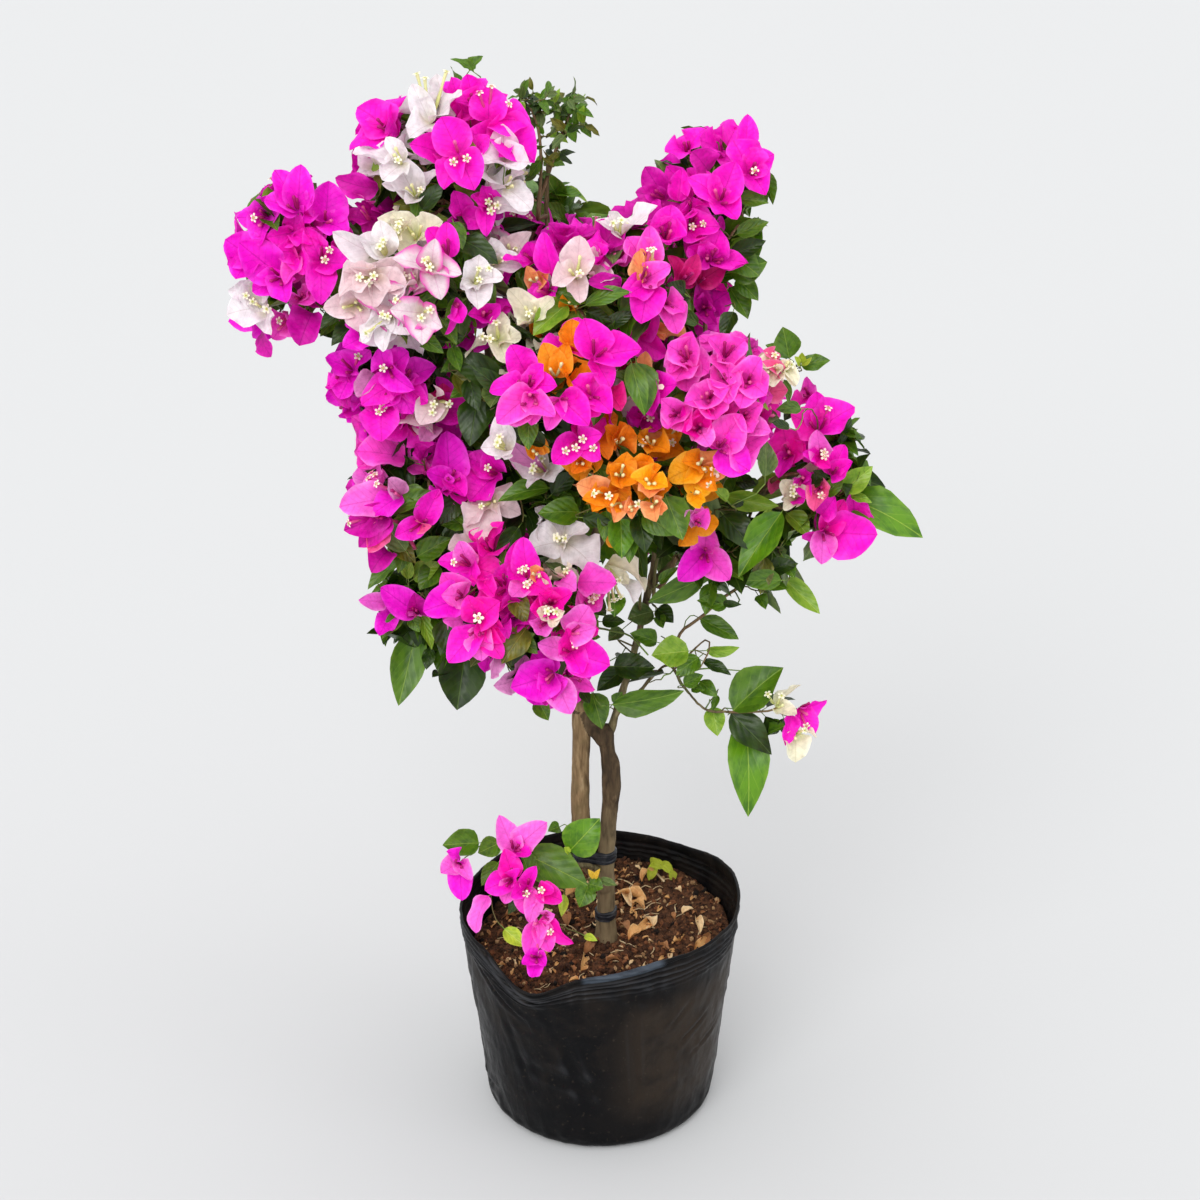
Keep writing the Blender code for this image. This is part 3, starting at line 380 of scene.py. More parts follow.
# Leaves in view: shade, foot, tip, width, lift. m mid, d dark, l light, o olive,
# g grey green, b bright, y yellow green.
LEAVES = [
    ((380, 40), 7.84, [("m", (735, 250), (550, 145), 90), ("m", (700, 240), (810, 125), 110), ("d", (880, 1510), (1230, 1440), 150, 6), ("m", (1200, 1270), (1330, 1450), 120), ("d", (600, 1320), (840, 1540), 200, 6), ("l", (190, 1420), (540, 1400), 150), ("d", (330, 1330), (500, 1120), 150), ("d", (850, 1420), (1100, 1560), 160)]),
    ((590, 90), 7.84, [("m", (1150, 850), (1400, 880), 140), ("m", (1150, 1130), (1400, 1030), 140), ("m", (1080, 1280), (1330, 1460), 250), ("d", (1100, 1300), (1380, 1180), 150), ("m", (1150, 1480), (1320, 1650), 170)]),
    ((210, 220), 7.84, [("d", (1180, 620), (900, 700), 170, -8), ("d", (1150, 800), (950, 980), 160, -8), ("d", (1060, 700), (860, 860), 150, -10)]),
    ((390, 220), 7.84, [("d", (520, 140), (850, 340), 210), ("d", (800, 60), (1150, 40), 110), ("d", (880, 1300), (450, 1060), 250, -4), ("d", (880, 1330), (640, 1150), 150, -4), ("l", (1390, 660), (1120, 900), 240, 12), ("m", (1300, 560), (1560, 640), 160, -2), ("d", (700, 960), (500, 1180), 160, -8), ("d", (620, 1240), (700, 1500), 160, -8)]),
    ((570, 230), 7.84, [("m", (1250, 330), (1545, 250), 260), ("m", (1250, 450), (1400, 690), 190), ("m", (120, 590), (480, 480), 140, 8), ("d", (130, 640), (320, 720), 130, 6), ("d", (280, 770), (500, 640), 130, 6), ("m", (520, 1040), (590, 1450), 260, 14), ("d", (900, 500), (760, 420), 140, -6), ("d", (1280, 640), (1200, 860), 150, -6)]),
    ((300, 380), 7.84, [("g", (830, 1340), (620, 1070), 190, -4), ("m", (690, 1050), (1060, 870), 170, -8), ("m", (920, 1385), (1190, 1240), 190, 2), ("l", (850, 1560), (850, 1385), 90, 4), ("m", (640, 1560), (780, 1410), 130, -2), ("l", (890, 1560), (1100, 1430), 170, 0), ("d", (1130, 1260), (1320, 1150), 120, -4), ("d", (1400, 120), (1330, 520), 260, -14), ("d", (1300, 480), (1200, 780), 200, -18), ("g", (870, 500), (735, 430), 90, 2), ("d", (1250, 900), (1100, 1130), 180, -12)]),
    ((470, 400), 7.84, [("m", (620, 690), (215, 790), 180, 6), ("m", (860, 880), (530, 890), 220, 8), ("b", (900, 880), (1210, 1290), 280, 2), ("b", (1180, 930), (1190, 1240), 220, 0), ("m", (1270, 900), (1380, 1490), 200, -4), ("m", (1360, 880), (1600, 1060), 200, 0), ("d", (640, 740), (840, 560), 160, -8), ("d", (260, 280), (540, 240), 110, -8), ("d", (380, 1000), (200, 1250), 160, -8), ("m", (280, 1180), (300, 1400), 120, -4)]),
    ((630, 350), 7.84, [("m", (10, 100), (115, 505), 170, 10), ("m", (1340, 120), (1570, 80), 140), ("m", (1240, 60), (1060, -40), 120, -4), ("y", (1330, 120), (1290, 50), 60, 2), ("y", (1345, 120), (1425, 60), 30, 2), ("y", (1340, 100), (1350, 20), 70, 3), ("y", (1270, 110), (1180, 100), 60, 2), ("m", (780, 1160), (860, 960), 160, -4), ("d", (830, 1020), (990, 1060), 130, -4), ("l", (760, 1180), (660, 1090), 110, -2), ("l", (750, 1150), (1165, 1225), 110, 4), ("g", (1060, 990), (1050, 690), 160, 2), ("d", (1250, 610), (1110, 570), 90, 2), ("d", (730, 1290), (960, 1570), 220, 0), ("d", (960, 1250), (760, 1250), 130, -4), ("b", (1190, 1270), (850, 1780), 270, 12), ("l", (1110, 1250), (1020, 1350), 60, 6), ("l", (1230, 1280), (1400, 1460), 190, 2), ("m", (280, 1150), (415, 1490), 260, 4), ("d", (60, 1300), (120, 1590), 200, -4), ("m", (1200, 230), (1245, 420), 80, 2), ("m", (1000, 1020), (880, 1100), 90, 0)]),
    ((745, 330), 6.533, [("m", (290, 185), (250, -20), 180, 2), ("l", (640, 1050), (835, 890), 160, 2), ("b", (660, 1090), (1165, 1355), 280, 4), ("l", (690, 1080), (830, 1130), 70, 8), ("d", (430, 1020), (520, 930), 90, 0), ("m", (520, 1080), (640, 960), 110, -2), ("d", (540, 960), (440, 920), 60, 2)]),
    ((330, 540), 7.84, [("m", (680, 700), (535, 1300), 280, 2), ("l", (710, 580), (800, 860), 110, 2), ("d", (790, 850), (755, 1015), 110, -4), ("d", (1060, 880), (995, 1335), 380, -2), ("d", (900, 620), (960, 910), 210, -6), ("m", (560, 160), (290, 380), 130, -2), ("m", (590, 560), (405, 775), 130, 0), ("m", (850, 190), (700, 390), 190, -2), ("l", (600, 290), (600, 135), 100, 0), ("o", (1540, 690), (1345, 970), 220, 4), ("o", (1440, 440), (1540, 650), 170, -2), ("d", (840, 100), (700, 200), 160, -6), ("g", (560, 90), (440, 30), 120, -4), ("m", (640, 600), (700, 720), 110, -2), ("d", (1000, 700), (860, 900), 200, -10)]),
    ((500, 540), 7.84, [("m", (300, 1260), (380, 1415), 140, -6), ("d", (960, 1020), (760, 1180), 170, 0), ("m", (720, 1200), (800, 1480), 210, 2), ("m", (880, 1290), (1445, 1190), 190, 4), ("d", (890, 990), (1215, 1000), 220, 0), ("m", (1230, 800), (1020, 730), 150, 2), ("g", (1200, 560), (1000, 620), 200, 2), ("d", (1230, 540), (1360, 650), 150, 0), ("l", (1480, 870), (1190, 900), 250, 6), ("m", (1560, 920), (1380, 1060), 160, 2), ("m", (1440, 1130), (1590, 1060), 120, 2), ("g", (960, 700), (850, 790), 120, 0), ("m", (1040, -40), (1135, 375), 180, -2), ("m", (1600, 300), (1165, 490), 180, 4), ("m", (1250, 340), (1400, 210), 90, 0), ("b", (900, 420), (900, 600), 160, 2), ("d", (700, 480), (830, 600), 160, -8), ("d", (800, 640), (980, 640), 110, -4), ("m", (1500, 1160), (1600, 1180), 80, 2), ("m", (1060, -120), (1010, 180), 160, -6), ("m", (890, 1280), (960, 1190), 90, 0), ("m", (1240, 600), (1280, 690), 100, 0), ("d", (640, 1180), (700, 1280), 90, -8)]),
    ((700, 600), 6.533, [("m", (215, 725), (545, 440), 290, 2), ("b", (296, 770), (316, 1418), 272, 4), ("d", (200, 738), (470, 1010), 210, -9), ("l", (80, 700), (115, 890), 140, 4), ("m", (110, 620), (75, 730), 50, 3), ("m", (0, 120), (255, 250), 130, 0), ("l", (40, 330), (260, 310), 60, 2), ("d", (20, 400), (205, 490), 80, 0), ("l", (549, -140), (784, 91), 140, 4), ("d", (150, 20), (270, 30), 50, 0), ("m", (0, 530), (110, 630), 100, 2), ("m", (380, -30), (430, 60), 90, 0)]),
    ((440, 805), 8.711, [("m", (340, 330), (20, 350), 250, 0), ("m", (520, 330), (330, 420), 190, -4), ("m", (510, 500), (360, 700), 150, -6), ("b", (1130, 400), (1390, 120), 340, 2), ("m", (1040, 190), (940, 230), 120, -4), ("m", (730, 420), (1290, 700), 360, 0), ("y", (1130, 420), (1080, 370), 70, 6), ("m", (1290, 700), (1215, 890), 190, 2), ("m", (1300, 690), (1420, 720), 170, 2), ("g", (1390, 650), (1540, 700), 80, 4), ("y", (1080, 780), (1060, 970), 90, 0), ("y", (560, 1080), (740, 1230), 150, 0), ("y", (1260, 1140), (1370, 1180), 70, 0), ("n", (1345, 640), (1288, 560), 52, 8), ("n", (1350, 640), (1392, 556), 52, 9)]),
]

# Thin twigs in view: points of the 1200 px view, foot and tip radius in mm, lift.
TWIGS = [
    ([(653, 600), (655, 570), (660, 545), (663, 515)], 1.9, 1.4, 0),
    ([(640, 618), (640, 598), (641, 580)], 1.8, 1.2, 4),
    ([(598, 628), (612, 631), (630, 636), (648, 655)], 1.1, 0.8, 4),
    ([(618, 640), (631, 652), (640, 662)], 0.9, 0.7, 4),
    ([(680, 634), (690, 625), (705, 614), (720, 600), (741, 586)], 1.2, 0.8, 6),
    ([(717, 501), (742, 501), (768, 507), (782, 508)], 1.5, 1.0, 10),
    ([(758, 493), (768, 484), (778, 477)], 0.8, 0.6, 10),
    ([(660, 587), (671, 571), (680, 548), (692, 535)], 1.0, 0.7, 2),
    ([(700, 669), (717, 669), (746, 671)], 0.9, 0.5, 6),
    ([(705, 640), (709, 650), (700, 668)], 0.8, 0.6, 4),
    ([(728, 712), (735, 712), (745, 712), (768, 711), (776, 708)], 1.3, 0.9, 2),
    ([(770, 378), (765, 390), (760, 402)], 1.0, 0.8, 0),
]


# ---------------------------------------------------------------- meshes from arrays
def mesh_piece(name, verts, faces, kinds, materials, loop_uv=None, smooth=True):
    """One object from arrays: faces is a list of (n, 3) or (n, 4) arrays, kinds the material of each face."""
    sizes = np.concatenate([np.full(len(f), f.shape[1], np.int32) for f in faces])
    loops = np.concatenate([f.ravel() for f in faces]).astype(np.int32)
    mesh = bpy.data.meshes.new(name)
    mesh.vertices.add(len(verts))
    mesh.vertices.foreach_set("co", np.asarray(verts, np.float32).ravel())
    mesh.loops.add(len(loops))
    mesh.loops.foreach_set("vertex_index", loops)
    mesh.polygons.add(len(sizes))
    mesh.polygons.foreach_set("loop_start", np.concatenate([[0], np.cumsum(sizes)[:-1]]).astype(np.int32))
    mesh.polygons.foreach_set("material_index", np.asarray(kinds, np.int32))
    mesh.polygons.foreach_set("use_smooth", np.full(len(sizes), smooth))
    if loop_uv is not None:
        layer = mesh.uv_layers.new(name="OFBake")
        layer.data.foreach_set("uv", np.asarray(loop_uv, np.float32).ravel())
    mesh.update(calc_edges=True)
    mesh.validate()
    obj = bpy.data.objects.new(name, mesh)
    bpy.context.scene.collection.objects.link(obj)
    for mat in materials:
        mesh.materials.append(mat)
    return obj


def in_tile(u, v, tile, across=3):
    """Places a surface's own 0 to 1 coordinates in its tile of a square sheet."""
    tile = np.asarray(tile)
    return np.stack([((tile % across) + 0.03 + 0.94 * u) / across, ((tile // across) + 0.03 + 0.94 * v) / across], -1)


BRACT_FORM, LEAF_FORM = (0.52, 0.66), (0.68, 0.98)


def outline(t, form):
    a, b = form
    peak = a / (a + b)
    return t ** a * (1 - t) ** b / (peak ** a * (1 - peak) ** b)


def blades(b, rows, cols, form, tile):
    """Bracts or leaves: curved sheets of their own outline, from arrays of feet, tips, facings and bends."""
    n = len(b["foot"])
    span = b["tip"] - b["foot"]
    length = np.linalg.norm(span, axis=1)
    y = span / length[:, None]
    x = unit(np.cross(y, b["face"]))
    z = np.cross(x, y)
    t = np.linspace(0, 1, rows + 1)[1:-1]
    t = 0.5 * (t + (1 - np.cos(math.pi * t)) / 2)
    s = np.linspace(-1, 1, cols + 1)
    f = outline(t, form)
    T, S = t[None, :, None], s[None, None, :]
    half = 0.5 * b["width"][:, None, None] * f[None, :, None]
    L = length[:, None, None]
    g = lambda key: b[key][:, None, None]
    across = S * half * (1 - 0.10 * g("cup") * S * S)
    rise = g("bow") * L * np.sin(math.pi * T) - g("curl") * L * np.clip(T - 0.62, 0, 1) ** 2 * 5.0
    rise = rise + g("cup") * half * (np.abs(S) ** 1.35) * (0.75 + 0.9 * (1 - T) ** 2)
    if "ripple" in b:
        rise = rise + g("ripple") * half * np.abs(S) ** 0.5 * np.sin(2 * math.pi * (3.1 * T - 0.9 * np.abs(S) + 1.7 * g("phase")))
    edge = np.abs(S) ** 2.2
    side = np.where(S < 0, 1.0, 0.0)
    rise = rise + g("wave") * half * edge * np.sin(2 * math.pi * (g("beat") * T + g("phase")) + side * 2.1)
    along = T * L + 0.05 * g("wave") * L * edge * np.sin(2 * math.pi * (1.1 * T + g("phase") * 1.7)) * f[None, :, None]
    turn = g("twist") * (T - 0.35)
    cx, sx = np.cos(turn), np.sin(turn)
    px, pz = across * cx - rise * 0 * sx, rise + across * sx
    pos = b["foot"][:, None, None, :] + along[..., None] * y[:, None, None, :] + px[..., None] * x[:, None, None, :] + pz[..., None] * z[:, None, None, :]
    R, C = rows - 1, cols + 1
    verts = np.concatenate([b["foot"][:, None], b["tip"][:, None] - (b["curl"] * length * 0.144 * 5.0)[:, None, None] * z[:, None, :], pos.reshape(n, R * C, 3)], 1)
    grid = 2 + np.arange(R * C).reshape(R, C)
    quads = np.stack([grid[:-1, :-1], grid[:-1, 1:], grid[1:, 1:], grid[1:, :-1]], -1).reshape(-1, 4)
    low = np.stack([np.zeros(cols, int), grid[0, 1:], grid[0, :-1]], -1)
    top = np.stack([grid[-1, :-1], grid[-1, 1:], np.ones(cols, int)], -1)
    tris = np.concatenate([low, top])
    per = 2 + R * C
    shift = (np.arange(n) * per)[:, None, None]
    u = np.concatenate([[0.5, 0.5], (0.5 + 0.47 * s[None, :] * f[:, None]).ravel()])
    v = np.concatenate([[0.0, 1.0], np.repeat(t, C)])
    spots = in_tile(u[None, :], v[None, :], np.asarray(tile)[:, None])
    quad_all, tri_all = (quads[None] + shift).reshape(-1, 4), (tris[None] + shift).reshape(-1, 3)
    flat = spots.reshape(-1, 2)
    return dict(verts=verts.reshape(-1, 3), quads=quad_all, tris=tri_all, quad_uv=flat[quad_all.ravel()], tri_uv=flat[tri_all.ravel()],
                quad_kind=np.repeat(tile, len(quads)), tri_kind=np.repeat(tile, len(tris)))


def joined(parts):
    """Joins built parts into one (verts, faces, kinds, uv)."""
    parts = [p for p in parts if len(p["verts"])]
    start = np.cumsum([0] + [len(p["verts"]) for p in parts])
    faces = [p["quads"] + s for p, s in zip(parts, start)] + [p["tris"] + s for p, s in zip(parts, start)]
    kinds = np.concatenate([p["quad_kind"] for p in parts] + [p["tri_kind"] for p in parts])
    uv = np.concatenate([p["quad_uv"] for p in parts] + [p["tri_uv"] for p in parts])
    return np.concatenate([p["verts"] for p in parts]), faces, kinds, uv


def frames_along(points):
    """Two directions across a run of points, carried along without twist."""
    way = unit(np.gradient(points, axis=0))
    first = np.cross(way[0], (0.0, 0.0, 1.0) if abs(way[0][2]) < 0.9 else (1.0, 0.0, 0.0))
    a = [unit(first)]
    for w in way[1:]:
        v = a[-1] - w * (a[-1] @ w)
        a.append(unit(v))
    a = np.array(a)
    return a, np.cross(way, a)


def tubes(paths, sides, tile):
    """Closed tapering tubes from a list of (points, radii)."""
    verts, quads, tris, quv, tuv, qk, tk = [], [], [], [], [], [], []
    base = 0
    turn = 2 * math.pi * np.arange(sides) / sides
    ring = np.stack([np.cos(turn), np.sin(turn)], -1)
    for (points, radii), kind in zip(paths, tile):
        a, b = frames_along(points)
        m = len(points)
        rings = points[:, None] + radii[:, None, None] * (ring[None, :, 0, None] * a[:, None] + ring[None, :, 1, None] * b[:, None])
        ends = np.stack([points[0], points[-1] + unit(points[-1] - points[-2]) * radii[-1] * 0.6])
        verts.append(np.concatenate([rings.reshape(-1, 3), ends]))
        g = base + np.arange(m * sides).reshape(m, sides)
        h = np.roll(g, -1, axis=1)
        quads.append(np.stack([g[:-1], h[:-1], h[1:], g[1:]], -1).reshape(-1, 4))
        foot, tip = base + m * sides, base + m * sides + 1
        tris.append(np.concatenate([np.stack([np.full(sides, foot), h[0], g[0]], -1), np.stack([g[-1], h[-1], np.full(sides, tip)], -1)]))
        j = np.arange(sides) / sides
        v = np.linspace(0, 1, m)
        corner = lambda du, dv: np.stack([np.broadcast_to(j + du / sides, (m - 1, sides)), np.broadcast_to((v[:-1] if dv == 0 else v[1:])[:, None], (m - 1, sides))], -1)
        q = np.stack([corner(0, 0), corner(1, 0), corner(1, 1), corner(0, 1)], -2).reshape(-1, 2)
        quv.append(in_tile(q[:, 0], q[:, 1], kind))
        t0 = np.stack([np.stack([j + .5 / sides, np.zeros(sides)], -1), np.stack([j + 1 / sides, np.full(sides, .01)], -1), np.stack([j, np.full(sides, .01)], -1)], 1)
        t1 = np.stack([np.stack([j, np.full(sides, .99)], -1), np.stack([j + 1 / sides, np.full(sides, .99)], -1), np.stack([j + .5 / sides, np.ones(sides)], -1)], 1)
        t = np.concatenate([t0, t1]).reshape(-1, 2)
        tuv.append(in_tile(t[:, 0], t[:, 1], kind))
        qk.append(np.full((m - 1) * sides, kind))
        tk.append(np.full(2 * sides, kind))
        base += m * sides + 2
    return dict(verts=np.concatenate(verts), quads=np.concatenate(quads), tris=np.concatenate(tris), quad_uv=np.concatenate(quv), tri_uv=np.concatenate(tuv), quad_kind=np.concatenate(qk), tri_kind=np.concatenate(tk))


# ---------------------------------------------------------------- shader helpers
def linear(*rgb):
    out = []
    for c in rgb:
        c /= 255.0
        out.append(c / 12.92 if c <= 0.04045 else ((c + 0.055) / 1.055) ** 2.4)
    return (*out, 1.0)


class Shader:
    """A material with a Principled BSDF and short calls for the nodes that feed it."""

    def __init__(self, name, rough=0.5, specular=0.5):
        self.mat = bpy.data.materials.new(name)
        self.mat.use_nodes = True
        self.tree = self.mat.node_tree
        self.bsdf = self.tree.nodes["Principled BSDF"]
        self.bsdf.inputs["Roughness"].default_value = rough
        self.bsdf.inputs["Specular IOR Level"].default_value = specular

    def put(self, socket, value):
        if isinstance(value, bpy.types.NodeSocket):
            self.tree.links.new(value, socket)
        else:
            socket.default_value = value

    def node(self, kind, values=(), **settings):
        n = self.tree.nodes.new(kind)
        for key, value in settings.items():
            setattr(n, key, value)
        for key, value in dict(values).items():
            self.put(n.inputs[key], value)
        return n

    def math(self, op, a, b=0.0, clamp=False):
        n = self.node("ShaderNodeMath", {0: a, 1: b}, operation=op)
        n.use_clamp = clamp
        return n.outputs[0]

    def mix(self, amount, a, b, blend="MIX"):
        n = self.node("ShaderNodeMix", data_type="RGBA", blend_type=blend)
        self.put(n.inputs[0], amount)
        self.put(n.inputs[6], a)
        self.put(n.inputs[7], b)
        return n.outputs[2]

    def step(self, value, low, high, to_low=0.0, to_high=1.0):
        n = self.node("ShaderNodeMapRange", {"Value": value, "From Min": low, "From Max": high, "To Min": to_low, "To Max": to_high}, interpolation_type="SMOOTHSTEP")
        return n.outputs[0]

    def noise(self, vector, scale, detail=3.0, rough=0.55, distort=0.0):
        n = self.node("ShaderNodeTexNoise", {"Scale": scale, "Detail": detail, "Roughness": rough, "Distortion": distort})
        if vector is not None:
            self.tree.links.new(vector, n.inputs["Vector"])
        return n.outputs[0]

    def bump(self, height, strength, distance):
        n = self.node("ShaderNodeBump", {"Height": height, "Strength": strength, "Distance": distance})
        self.put(self.bsdf.inputs["Normal"], n.outputs[0])

    def sheet(self, tile, across=3):
        """The surface's own u and v, from its tile."""
        uv = self.node("ShaderNodeUVMap", uv_map="OFBake").outputs[0]
        split = self.node("ShaderNodeSeparateXYZ", {0: uv})
        own = []
        for socket, cell in ((split.outputs[0], tile % across), (split.outputs[1], tile // across)):
            own.append(self.math("DIVIDE", self.math("SUBTRACT", self.math("MULTIPLY", socket, float(across)), cell + 0.03), 0.94))
        flat = self.node("ShaderNodeCombineXYZ", {0: own[0], 1: own[1], 2: float(tile) * 3.1}).outputs[0]
        return own[0], own[1], flat

    def thin(self, colour, share):
        """Lets some light through, as a petal or leaf does."""
        glow = self.node("ShaderNodeBsdfTranslucent")
        self.put(glow.inputs["Color"], colour)
        mixer = self.node("ShaderNodeMixShader", {0: share})
        self.tree.links.new(self.bsdf.outputs[0], mixer.inputs[1])
        self.tree.links.new(glow.outputs[0], mixer.inputs[2])
        self.tree.links.new(mixer.outputs[0], self.tree.nodes["Material Output"].inputs["Surface"])


def share_of_half(sh, u, v, form):
    """How far a point is from the midrib, 0 to 1 at the outline."""
    a, b = form
    peak = a / (a + b)
    top = peak ** a * (1 - peak) ** b
    v1 = sh.math("MAXIMUM", v, 0.0001)
    v2 = sh.math("MAXIMUM", sh.math("SUBTRACT", 1.0, v), 0.0001)
    f = sh.math("DIVIDE", sh.math("MULTIPLY", sh.math("POWER", v1, a), sh.math("POWER", v2, b)), top)
    off = sh.math("ABSOLUTE", sh.math("SUBTRACT", u, 0.5))
    return off, sh.math("DIVIDE", off, sh.math("ADD", sh.math("MULTIPLY", f, 0.47), 0.002))


def bract_material(name, tile, body, foot, vein, rim, rim_from=0.8, rough=0.5, glow=0.32, rim_share=0.5, crease=0.55):
    """Papery bract: fine veins off a midrib, a darker or paler foot and a rim."""
    sh = Shader(name, rough, 0.28)
    u, v, flat = sh.sheet(tile)
    off, side = share_of_half(sh, u, v, BRACT_FORM)
    midrib = sh.step(off, 0.016, 0.004)
    branch = sh.math("FRACT", sh.math("ADD", sh.math("SUBTRACT", sh.math("MULTIPLY", v, 6.5), sh.math("MULTIPLY", off, 5.5)), sh.math("MULTIPLY", sh.noise(flat, 5.0, 2.0), 0.7)))
    lines = sh.step(sh.math("ABSOLUTE", sh.math("SUBTRACT", branch, 0.5)), 0.075, 0.02)
    lines = sh.math("MULTIPLY", lines, sh.step(side, 1.0, 0.5))
    blotch = sh.noise(flat, 6.0, 4.0)
    colour = sh.mix(sh.math("MULTIPLY", sh.step(v, 0.42, 0.0), 0.75), body, foot)
    colour = sh.mix(sh.step(sh.math("ADD", side, sh.math("MULTIPLY", sh.math("SUBTRACT", blotch, 0.5), 0.5)), rim_from, 1.02, 0.0, rim_share), colour, rim)
    colour = sh.mix(sh.math("ADD", sh.math("MULTIPLY", midrib, 0.45), sh.math("MULTIPLY", lines, 0.22)), colour, vein)
    tone = sh.step(blotch, 0.25, 0.75, 0.90, 1.14)
    n = sh.node("ShaderNodeVectorMath", operation="SCALE")
    sh.put(n.inputs[0], colour)
    sh.put(n.inputs["Scale"], tone)
    sh.put(sh.bsdf.inputs["Base Color"], n.outputs[0])
    crumple = sh.math("ADD", sh.math("MULTIPLY", sh.noise(flat, 4.5, 3.0), 1.5), sh.math("MULTIPLY", sh.noise(flat, 16.0, 4.0), 0.35))
    height = sh.math("ADD", sh.math("MULTIPLY", midrib, -0.5), sh.math("ADD", sh.math("MULTIPLY", lines, -0.28), crumple))
    sh.bump(height, crease, 0.0016)
    sh.thin(n.outputs[0], glow)
    return sh.mat


def leaf_material(name, tile, body, light, dark, rough=0.36, form=LEAF_FORM):
    """Glossy leaf: pale midrib and side veins, quilted between them."""
    sh = Shader(name, rough, 0.38)
    u, v, flat = sh.sheet(tile)
    off, side = share_of_half(sh, u, v, form)
    midrib = sh.step(off, 0.017, 0.005)
    branch = sh.math("FRACT", sh.math("ADD", sh.math("SUBTRACT", sh.math("MULTIPLY", v, 4.6), sh.math("MULTIPLY", off, 5.2)), sh.math("MULTIPLY", sh.noise(flat, 3.0, 2.0), 0.6)))
    ridge = sh.math("ABSOLUTE", sh.math("SUBTRACT", branch, 0.5))
    lines = sh.math("MULTIPLY", sh.step(ridge, 0.07, 0.015), sh.step(side, 1.0, 0.45))
    blotch = sh.noise(flat, 4.0, 5.0)
    colour = sh.mix(sh.step(blotch, 0.38, 0.66), body, dark)
    colour = sh.mix(sh.step(sh.math("SUBTRACT", side, sh.math("MULTIPLY", blotch, 0.6)), 0.35, 0.9, 0.0, 0.35), colour, light)
    colour = sh.mix(sh.math("ADD", sh.math("MULTIPLY", midrib, 0.65), sh.math("MULTIPLY", lines, 0.17)), colour, light)
    sh.put(sh.bsdf.inputs["Base Color"], colour)
    height = sh.math("ADD", sh.math("MULTIPLY", midrib, -1.0), sh.math("ADD", sh.math("MULTIPLY", sh.step(ridge, 0.0, 0.5), 0.55), sh.math("MULTIPLY", sh.noise(flat, 7.0, 3.0), 0.7)))
    sh.bump(height, 0.45, 0.0009)
    sh.put(sh.bsdf.inputs["Roughness"], sh.step(blotch, 0.3, 0.7, rough - 0.06, rough + 0.10))
    sh.thin(colour, 0.16)
    return sh.mat


def tube_material(name, tile, foot, tip, rough=0.55, speck=None):
    """A twig, stalk or flower tube that shades from foot to tip."""
    sh = Shader(name, rough, 0.35)
    u, v, flat = sh.sheet(tile)
    grain = sh.noise(flat, 9.0, 4.0)
    colour = sh.mix(v, foot, tip)
    if speck:
        colour = sh.mix(sh.step(grain, 0.52, 0.68, 0.0, 0.8), colour, speck)
    tone = sh.step(grain, 0.25, 0.75, 0.85, 1.12)
    n = sh.node("ShaderNodeVectorMath", operation="SCALE")
    sh.put(n.inputs[0], colour)
    sh.put(n.inputs["Scale"], tone)
    sh.put(sh.bsdf.inputs["Base Color"], n.outputs[0])
    sh.bump(grain, 0.3, 0.0004)
    return sh.mat


# ---------------------------------------------------------------- where the crown is
def node_arrays(name):
    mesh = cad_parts[name].data
    mesh.calc_loop_triangles()
    co = np.zeros(len(mesh.vertices) * 3, np.float32)
    mesh.vertices.foreach_get("co", co)
    tri = np.zeros(len(mesh.loop_triangles) * 3, np.int32)
    mesh.loop_triangles.foreach_get("vertices", tri)
    return co.reshape(-1, 3).astype(float), tri.reshape(-1, 3)


def tree_of(names):
    verts, tris, base = [], [], 0
    for name in names:
        v, t = node_arrays(name)
        verts.append(v)
        tris.append(t + base)
        base += len(v)
    return BVHTree.FromPolygons(np.concatenate(verts).tolist(), np.concatenate(tris).tolist())


CROWN = tree_of(MASSES)
WHOLE = tree_of(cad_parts)
OWN = {name: tree_of([name]) for name in MASSES}
HUB = {name: np.array(row[0]) for name, row in MASSES.items()}


def crown_at(px, py):
    """(depth, outward direction) of the crown's front at a point of the view."""
    way = Vector(unit(sight(px, py)))
    spot, normal, _, _ = CROWN.ray_cast(Vector(EYE), way)
    if spot is None:
        best = None
        for name, hub in HUB.items():
            hx, hy, hd = seen_at(hub)
            near, n, _, _ = OWN[name].find_nearest(Vector(onto(px, py, hd)))
            gap = (near - Vector(onto(px, py, hd))).length
            if name.startswith("back_"):
                gap += 0.05
            if best is None or gap < best[0]:
                best = (gap, hd, n)
        out = unit(np.array(best[2]) * 0.6 - AHEAD * 0.8)
        return best[1] - 0.004, out
    depth = (np.array(spot) - EYE) @ AHEAD
    return depth, np.array(normal)


BLOSSOMING = tree_of([name for name in MASSES if name not in ("green_shoot_mass", "hanging_mass", "right_low_mass", "right_top_sprig", "basal_mass", "left_low_mass")])


def in_blossom(p):
    """True where a mass that bears blossom hides a point, seen from the view."""
    return BLOSSOMING.ray_cast(Vector(EYE), Vector(unit(np.asarray(p, float) - EYE)))[0] is not None


def in_outline(p, spare=0.0):
    """True where the model's own outline hides a point, seen from the view."""
    way = np.asarray(p, float) - EYE
    if WHOLE.ray_cast(Vector(EYE), Vector(unit(way)))[0] is not None:
        return True
    return spare > 0 and any(WHOLE.ray_cast(Vector(EYE), Vector(unit(way + d)))[0] is not None for d in (RIGHT * spare, -RIGHT * spare, UPWARD * spare, -UPWARD * spare))


